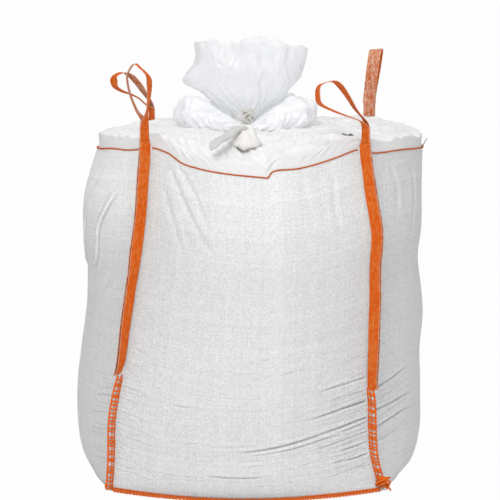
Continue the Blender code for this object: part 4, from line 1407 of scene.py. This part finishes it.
def skirt_sheet():
    """Points and UVs of the settled, creased skirt."""
    columns, rows = 440, 66
    hem, u = panel_loop(columns, 1.0, .0016)
    hem[:, 2] = np.concatenate([hem_z(name, u[:columns // 4]) for name in PANELS])
    th = np.arctan2(hem[:, 1], hem[:, 0])
    T = np.linspace(0, 1, rows)
    P = skirt_plan(hem, th, T)
    q = P * 22
    free = ease(.05, .14, T)[:, None]
    bump = (.0065 * crumple(q * .55, 482, 3) + .0060 * noise(q * .9, 483)
            + .0030 * noise(q * 2.4, 485) + .0025 * noise(q * 4.4, 486))
    start = P.copy()
    start[..., 2] += bump * free
    out = pack(np.cos(th), np.sin(th), 0.)
    start += out[None] * (.004 * noise(q * 1.3, 484) * free)[..., None]
    # spare cloth: little at the rim, much towards the middle
    grow = (.25 * ease(.04, .20, T) + .75 * ease(.15, .8, T))[:, None]
    pin = np.zeros((rows, 1))
    pin[:3] = 1
    X = settle(P, start, ring=1 + .10 * grow, run=1 + .08 * grow, pin=pin,
               steps=90, goal=.016, bend=.05)
    # small hard creases on top of the folds
    broad = facets(X, 511, .085, 6, .5, (1, 1.3, .6))
    fine = facets(X, 515, .034, 5, .6, (1, 1.2, .6))
    spun = pack(X[..., 0] * .80 + X[..., 1] * .60, X[..., 1] * .80 - X[..., 0] * .60, X[..., 2])
    streaks = (facets(spun, 519, .050, 5, .5, (.45, 1.5, .4))
               + facets(X, 523, .060, 5, .5, (.35, 1.6, .4)))
    side = ease(.9, .2, np.abs(np.sin(th)))[None]
    X[..., 2] += (.0058 * broad + .0014 * fine + .0024 * streaks) * free * (1 + .4 * side)
    X += out[None] * ((.0020 * fine + .0022 * streaks) * free)[..., None]
    return X, pack(np.arange(columns) / columns * 3.6, (T * .45)[:, None])


def make_mouth(on_skirt):
    """Small crumpled mound of cloth on the front of the skirt."""
    rho, phi = np.meshgrid(np.linspace(0, 1, 16), np.linspace(0, TURN, 64, endpoint=False),
                           indexing='ij')
    cos, sin = np.cos(phi), np.sin(phi)
    x, y, peak = -.004, -.352, 1.190
    half_x, half_y = .050, .058
    low = on_skirt(x, y)
    hill = (1 - rho ** 2) ** 1.3 - .30 * np.exp(-(rho / .22) ** 2)
    M = pack(x + half_x * rho * cos, y + half_y * rho * sin, low + (peak - low) * hill)
    wrinkle = (facets(M * np.array([1, 1, .6]), 541, .036, 5, .6)
               * np.sin(np.pi * np.clip(rho, .06, 1)))
    M += pack(.0045 * wrinkle * cos, .0045 * wrinkle * sin, .0080 * wrinkle)
    M[-1, :, 2] = [on_skirt(*p) - .002 for p in M[-1, :, :2]]
    return grid_mesh('skirt_mouth', M, pack(rho * .05, phi * .03), SKIRT_MOUTH, closed=True)


def make_skirt():
    """Thin duffle skirt: rises from the hem, turns over and lies in over the
    liner in a mass of fine folds."""
    X, uv = skirt_sheet()
    ob = grid_mesh('skirt_cloth', X, uv, CLOTH_SKIRT, closed=True)
    flat = X.reshape(-1, 3)

    def on_skirt(x, y):
        """Height of the skirt's top near a place."""
        d = np.hypot(flat[:, 0] - x, flat[:, 1] - y)
        return flat[d < .014][:, 2].max() if (d < .014).any() else flat[d.argmin()][2]

    def laid(name, points, radius, lift):
        """Painted shadow: a dark line laid on the skirt through four points."""
        line = smooth_line([(x, y, 0) for x, y in points], 9)
        line[:, 2] = [on_skirt(x, y) + lift for x, y in line[:, :2]]
        line[1:-1, 2] = (line[:-2, 2] + line[1:-1, 2] + line[2:, 2]) / 3
        return tube(name, line, radius, SKIRT_SHADOW_PAINT, 7)

    mouth = make_mouth(on_skirt)
    # painted shadows: a dark line under the mouth's front lip, and a dark patch in the gap at the
    # front right of the skirt
    mouth_edge = laid('mouth_edge', [(-.030, -.404), (-.014, -.413), (.006, -.413), (.022, -.404)],
                      [.0005] + [.0012] * 26 + [.0005], lift=.002)
    gap = laid('gap', [(.306, -.262), (.322, -.284), (.336, -.306), (.344, -.326)],
               .0006 + .0066 * np.sin(np.pi * np.linspace(0, 1, 28)) ** 1.5, lift=.001)
    ob = join([ob, mouth, mouth_edge, gap], 'skirt_cloth')
    thicken(ob, .0007)
    register(ob, 'duffle_skirt')


# ------------------------------------------------------------------- liner
# bunch, by degrees round from +x: height of its crest, half width
BUNCH_CREST = [(-180, 1.244), (-165, 1.250), (-150, 1.236), (-132, 1.210), (-116, 1.196),
               (-100, 1.170), (-80, 1.170), (-64, 1.206), (-48, 1.226), (-32, 1.240),
               (-15, 1.252), (0, 1.246), (25, 1.250), (60, 1.232), (90, 1.236), (140, 1.230),
               (180, 1.244)]
BUNCH_WIDTH = [(-180, .242), (-162, .226), (-148, .232), (-130, .200), (-115, .206),
               (-95, .176), (-76, .196), (-62, .226), (-48, .212), (-34, .232), (-18, .222),
               (0, .230), (40, .205), (90, .190), (140, .205), (165, .232), (180, .242)]
# its section: share of the width, share of the crest's height over the skirt
BUNCH_SECTION = [(.70, -.55), (.86, -.12), (.96, .22), (1.0, .52), (.95, .84), (.80, 1.0),
                 (.62, .93), (.44, .62), (.29, .35), (.19, .20), (.155, .155)]
# neck, by share of its height: x of its left and right side, half depth
NECK_LEFT = [(0, -.034), (.06, -.044), (.12, -.070), (.18, -.100), (.237, -.122),
             (.328, -.154), (.41, -.190), (.53, -.212), (.63, -.198), (.71, -.172),
             (.85, -.166), (1, -.168)]
NECK_RIGHT = [(0, .034), (.06, .048), (.12, .074), (.18, .104), (.237, .126), (.42, .154),
              (.585, .178), (.78, .198), (1, .210)]
NECK_DEPTH = [(0, .034), (.1, .040), (.2, .050), (.35, .072), (.6, .088), (1, .078)]
# (x, z of the neck's top edge)
NECK_TOP = [(-.21, 1.416), (-.19, 1.430), (-.165, 1.436), (-.12, 1.450), (-.098, 1.452),
            (-.082, 1.438), (-.035, 1.446), (.05, 1.458), (.109, 1.442), (.16, 1.428),
            (.205, 1.418)]
NECK_FOOT_Z = 1.190
LINER_COLUMNS, NECK_ROWS = 264, 60


def bunch_points(cos, sin):
    """Loose lobes round the tie, lowest in front of it."""
    degrees = np.degrees(np.arctan2(sin, cos))
    crest = curve(BUNCH_CREST, degrees)
    section = smooth_line(BUNCH_SECTION, 4)
    t = np.linspace(0, 1, len(section))
    # both width and height close on the tie at the top rows
    R = section[:, :1] * curve(BUNCH_WIDTH, degrees)[None]
    R = R * (1 - ease(.80, 1, t))[:, None] + .0365 * ease(.80, 1, t)[:, None]
    Z = SKIRT_TOP + section[:, 1:] * (crest[None] - SKIRT_TOP)
    Z = Z * (1 - ease(.72, 1, t))[:, None] + 1.1795 * ease(.72, 1, t)[:, None]
    return pack(R * cos, R * .90 * sin, Z)


def neck_points(cos, sin):
    """Flared neck above the tie, lower at the back."""
    H = np.linspace(0, 1, NECK_ROWS)[:, None]
    left, right = curve(NECK_LEFT, H), curve(NECK_RIGHT, H)
    x = (left + right) / 2 + (right - left) / 2 * cos
    top = curve(NECK_TOP, x) - np.where(sin > 0, .022 * np.abs(sin), 0)
    return pack(x, curve(NECK_DEPTH, H) * sin, NECK_FOOT_Z + (top - NECK_FOOT_Z) * H)


def make_liner():
    """Liner gathered through the skirt: a bunched, pleated mushroom of film
    below the tie, and the flared neck above it, in one piece."""
    th = np.linspace(0, TURN, LINER_COLUMNS, endpoint=False)
    cos, sin = np.cos(th), np.sin(th)
    bunch = bunch_points(cos, sin)
    waist = pack(.0340 * cos, .0340 * sin, 1.1850)[None]
    P = np.concatenate([bunch, waist, neck_points(cos, sin)], 0)
    count, tie = len(P), len(bunch)
    rows = np.arange(count)
    centres = P.mean(1, keepdims=True)
    # spare film: most of it in the bunch
    t, h = np.linspace(0, 1, tie), np.linspace(0, 1, NECK_ROWS)
    grow = np.zeros(count)
    grow[:tie] = np.sin(np.pi * np.clip(t * 1.02, 0, 1)) ** .7
    grow[tie + 1:] = .16 * ease(0, .22, h) * (1 - .5 * ease(.6, 1, h))
    free = np.ones(count)
    free[:2] = 0
    free *= np.clip(np.abs(rows - tie) / 6.0, 0, 1)
    free = free[:, None]
    in_neck = np.zeros((count, 1))
    in_neck[tie + 1:] = 1
    start = P.copy()
    q = P * 15
    for axis, size in enumerate((.0120, .0120, .0100)):
        start[..., axis] += size * crumple(q + 31 * axis, 611 + axis, 2) * free * (1 - in_neck)
    pin = np.zeros((count, 1))
    pin[:2] = 1
    pin[tie - 1:] = 1
    X = settle(P, start, ring=1 + .20 * grow[:, None], run=1 + .12 * grow[:, None], pin=pin,
               steps=60, goal=.03, bend=.30)
    crinkle_liner(X, centres, th, rows, tie, in_neck, free)
    ob = grid_mesh('liner_film', X, pack(th[None] * .2, (rows * .006)[:, None]),
                   FILM_LAYERS, FILM, closed=True)
    index = np.zeros(len(ob.data.polygons), np.int32)
    index[(tie + 2) * LINER_COLUMNS:] = 1
    ob.data.polygons.foreach_set('material_index', index)
    thicken(ob, .0003, offset=0)
    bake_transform(ob)
    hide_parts('inner_liner', 'liner_neck')


def crinkle_liner(X, centres, th, rows, tie, in_neck, free):
    """Moves X into flat facets with sharp ridges all over, and upright
    gathers above the tie."""
    out = X - centres
    out[..., 2] *= 1 - in_neck
    out /= np.linalg.norm(out, axis=-1)[..., None] + 1e-6
    h = np.clip((rows - tie) / NECK_ROWS, 0, 1)[:, None]
    depth = np.sqrt(np.clip(np.abs(X[..., 1]) / .08, 0, 1))
    flat = pack(X[..., 0], .10 * np.sign(X[..., 1]) * depth, X[..., 2])
    long = facets(flat, 631, .105, 5, .45, (1, 1, .42))
    broad = facets(flat, 647, .062, 5, .55, (1, 1, .9))
    fine = facets(flat, 653, .026, 4, .6, (1, 1, .8))
    bunch_broad = facets(X, 661, .085, 6, .8)
    bunch_fine = facets(X, 673, .024, 5, .6)
    wave = th * 9.5 / np.pi + 1.2 * noise_at(np.cos(th) * 2.2, np.sin(th) * 2.2, 0, 637)
    gathers = np.abs((wave[None] % 1) - .5) * 2 - .5
    in_bunch = (1 - in_neck) * free
    X += out * ((.0110 * long + .0048 * broad + .0022 * fine) * ease(0, .16, h) * in_neck
                + .0100 * gathers * ease(0, .08, h) * ease(.75, .12, h) * in_neck
                + (.0150 * bunch_broad + .0042 * bunch_fine) * in_bunch)[..., None]
    X[..., 2] += .006 * broad * in_neck * ease(.8, 1, h) + .008 * bunch_broad * in_bunch


def make_neck_tie():
    """Band wound three times round the neck, its knot in front, and the
    pleated plug of film inside."""
    a = -np.pi / 2 + np.linspace(0, TURN * 3.0, 190)
    radius = .0392 + .0007 * np.sin(a * 5)
    path = pack(radius * np.cos(a), radius * np.sin(a), 1.1800 + a / TURN * .0030)
    tail = path[-1] + np.outer(np.linspace(0, 1, 14), [.020, -.035, -.012])
    tail[:, 2] += .006 * np.sin(np.linspace(0, np.pi, 14))
    band = tube('neck_tie', np.vstack([path, tail[1:]]), .0026, TIE_BAND)
    a = np.linspace(0, TURN, 72, endpoint=False)
    # (radius, z) of the plug's rings
    rings = ((.0335, 1.186), (.029, 1.192), (.020, 1.189), (.010, 1.195), (.001, 1.192))
    plug = np.array([pack(r * np.cos(a), r * np.sin(a), z + .0022 * np.cos(a * 11) * (r > .006))
                     for r, z in rings])
    plug = grid_mesh('neck_gather', plug, plug[..., :2], TIE_BAND, closed=True)
    t = np.linspace(0, 1, 160)
    knot = pack(.004 + .013 * np.sin(TURN * 5.2 * t), -.048 - .009 * np.cos(TURN * 3.3 * t),
                1.188 + .024 * np.sin(TURN * 2.1 * t + .6))
    knot = tube('neck_knot', knot, .0048, TIE_KNOT)
    register(join([band, plug, knot], 'neck_tie'), 'liner_tie')


# ---------------------------------------------------------- fill, small parts
def make_fill():
    count = 160
    rings = []
    for v in (0, .03, .08, .16, .28, .4, .52, .64, .76, .87, .93):
        ring, _ = panel_loop(count, v, .022)
        ring[:, 2] = np.maximum(ring[:, 2], FOOT_Z)
        rings.append(ring)
    last = rings[-1]
    # heap over the top ring: (share of its size, z)
    for share, z in ((.9, 1.065), (.7, 1.09), (.4, 1.11), (.1, 1.115)):
        ring = last * share
        ring[:, 2] = z
        rings.append(ring)
    bottom = [rings[0] * [share, share, 1] for share in (.1, .5)]
    R = np.array(bottom + rings)
    R[..., 2] += .002 * noise(R * 30, 88) * (R[..., 2] > 1.0)
    ob = grid_mesh('pellet_heap', R, R[..., :2], PELLETS, closed=True)
    close_caps(ob, count)
    register(ob, 'bulk_fill')


def make_tie_tape():
    """Folded tie tape lying on the skirt, from its pivot towards the front left."""
    away = np.array([-.100, -.150, -.050])
    length = np.linalg.norm(away)
    d = away / length
    w = np.array([-d[1], d[0], 0.])
    w /= np.linalg.norm(w)
    n = np.cross(d, w)
    f = np.linspace(0, 1, 40)[:, None]
    half = .0175 * np.sqrt(np.clip(1 - (np.clip(f - .86, 0, 1) / .145) ** 2, .03, 1))
    bow = .011 * np.sin(np.pi * f) + .004 * np.sin(f * 9)
    x = np.array([-1, -.92, -.6, -.2, .2, .6, .92, 1, .92, .6, .2, -.2, -.6, -.92])
    y = np.array([0, .8, 1.0, .8, .85, 1.0, .8, 0, -.8, -1, -1, -1, -1, -.8]) * .0068
    centres = PIVOT['tie_tape_lift'] + d * (.002 + length * f) + n * (bow + .004)
    rows = (centres[:, None] + w * (x * half)[..., None]
            + n * (y * (1 + .15 * np.sin(f * 21)))[..., None])
    ob = grid_mesh('tie_tape_folded', rows, pack(x * .016, f * length), TIE_TAPE, closed=True)
    close_caps(ob, len(x))
    register(ob, 'skirt_tie_tape', body='tape')


def make_seam_knot():
    """Tangle of thread at the foot of a corner seam, with a short tail."""
    low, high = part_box('seam_thread_tail')
    c = (np.array(low) + np.array(high)) / 2 + [-.008, .004, .004]
    t = np.linspace(0, 1, 420)
    path = pack(c[0] - .010 + .019 * np.sin(TURN * 7.3 * t) * (1 - .25 * t)
                + .006 * np.sin(TURN * 3.1 * t + 2),
                c[1] + .016 * np.cos(TURN * 5.1 * t + 1),
                c[2] + .016 + .016 * np.sin(TURN * 4.7 * t + .5))
    path[:, 2] = np.maximum(path[:, 2], .0036)
    end = path[-1] + np.outer(np.linspace(0, 1, 20), [.008, -.012, -.010])
    end[:, 2] = np.maximum(end[:, 2], .0034)
    ob = tube('seam_knot', np.vstack([path, end[1:]]), .0030, THREAD)
    register(ob, 'seam_thread_tail')


def make_hem_thread_end():
    a, b = (np.array(p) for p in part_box('hem_thread_tail'))
    points = [[a[0], b[1], a[2]], [a[0] + .004, b[1] - .006, a[2] + .014],
              [b[0] - .004, (a[1] + b[1]) / 2, a[2] + .026], [b[0], a[1], b[2]]]
    ob = tube('hem_thread_end', smooth_line(points, 10), np.linspace(.0017, .0009, 31),
              DARK_THREAD, 7)
    register(ob, 'hem_thread_tail')


# ------------------------------------------------------------- stage, camera
def floor_material():
    """Pale floor that the camera sees as nearly pure white."""
    m, k = new_material('floor_pale')
    patches = k.noise(k.pos(), scale=1.3, detail=3)
    k.shade({'Base Color': k.mix(patches, (.90, .90, .90), (.93, .93, .93)),
             'Roughness': .9})
    white = k.node('ShaderNodeEmission', {'Color': (1, 1, 1, 1), 'Strength': 1.0})
    seen = k.node('ShaderNodeLightPath').outputs['Is Camera Ray']
    mixed = k.node('ShaderNodeMixShader', {0: k.mul(seen, .97), 1: k.shader.outputs[0],
                                           2: white.outputs[0]})
    k.put(k.tree.nodes['Material Output'].inputs['Surface'], mixed.outputs[0])
    return m


def make_floor():
    """Floor that sweeps up behind the bag."""
    bend = np.linspace(0, np.pi / 2, 12)[1:]
    y = np.concatenate([np.linspace(-9, 6, 12), 6 + 3 * np.sin(bend), [9, 9]])
    z = np.concatenate([np.zeros(12), 3 - 3 * np.cos(bend), [6, 12]])
    P = pack(np.linspace(-14, 14, 3)[None], y[:, None], z[:, None])
    grid_mesh('studio_floor', P, P[..., :2], floor_material())


def make_world():
    """White world, at half strength for everything but the camera."""
    world = bpy.data.worlds.new('studio')
    scene.world = world
    k = Nodes(world)
    background = k.tree.nodes['Background']
    seen = k.node('ShaderNodeLightPath').outputs['Is Camera Ray']
    k.put(background.inputs['Strength'], k.map(seen, span=(0, 1), to=(.50, 1.0)))
    background.inputs['Color'].default_value = (1, 1, 1, 1)


def area_light(name, location, target, size, power, color=(1, 1, 1)):
    light = bpy.data.lights.new(name, 'AREA')
    light.shape = 'RECTANGLE'
    light.size, light.size_y = size
    light.energy = power
    light.color = color
    ob = bpy.data.objects.new(name, light)
    ob.location = location
    aim = Vector(target) - Vector(location)
    ob.rotation_euler = aim.to_track_quat('-Z', 'Y').to_euler()
    scene.collection.objects.link(ob)


def make_camera():
    """Long lens from the front, tipped 10 degrees down."""
    cam = bpy.data.cameras.new('cam')
    cam.sensor_width = 36
    cam.lens = 147.9
    cam.shift_x = .007
    cam.shift_y = .0665
    cam.clip_end = 100
    ob = bpy.data.objects.new('cam', cam)
    ob.location = (0, -6.8937, 1.8355)
    ob.rotation_euler = (math.radians(80), 0, 0)
    scene.collection.objects.link(ob)
    scene.camera = ob


for panel in PANELS:
    make_panel(panel)
    make_base_overlock(panel)
    make_hem_stitch(panel)
make_base()
for bag_corner in CORNERS:
    make_overlock(bag_corner)
    make_strap(bag_corner)
make_skirt()
make_liner()
make_neck_tie()
make_fill()
make_tie_tape()
make_seam_knot()
make_hem_thread_end()

make_floor()
make_world()
area_light('key', location=(-1.0, -4.6, 4.4), target=(0, 0, .6), size=(1.5, 1.3), power=100)
area_light('fill', location=(1.6, -5.6, 1.2), target=(0, 0, .6), size=(1.6, 1.6), power=34,
           color=(.97, .98, 1))
area_light('top', location=(0, .2, 4.2), target=(0, 0, .9), size=(2.4, 2.4), power=30)
make_camera()
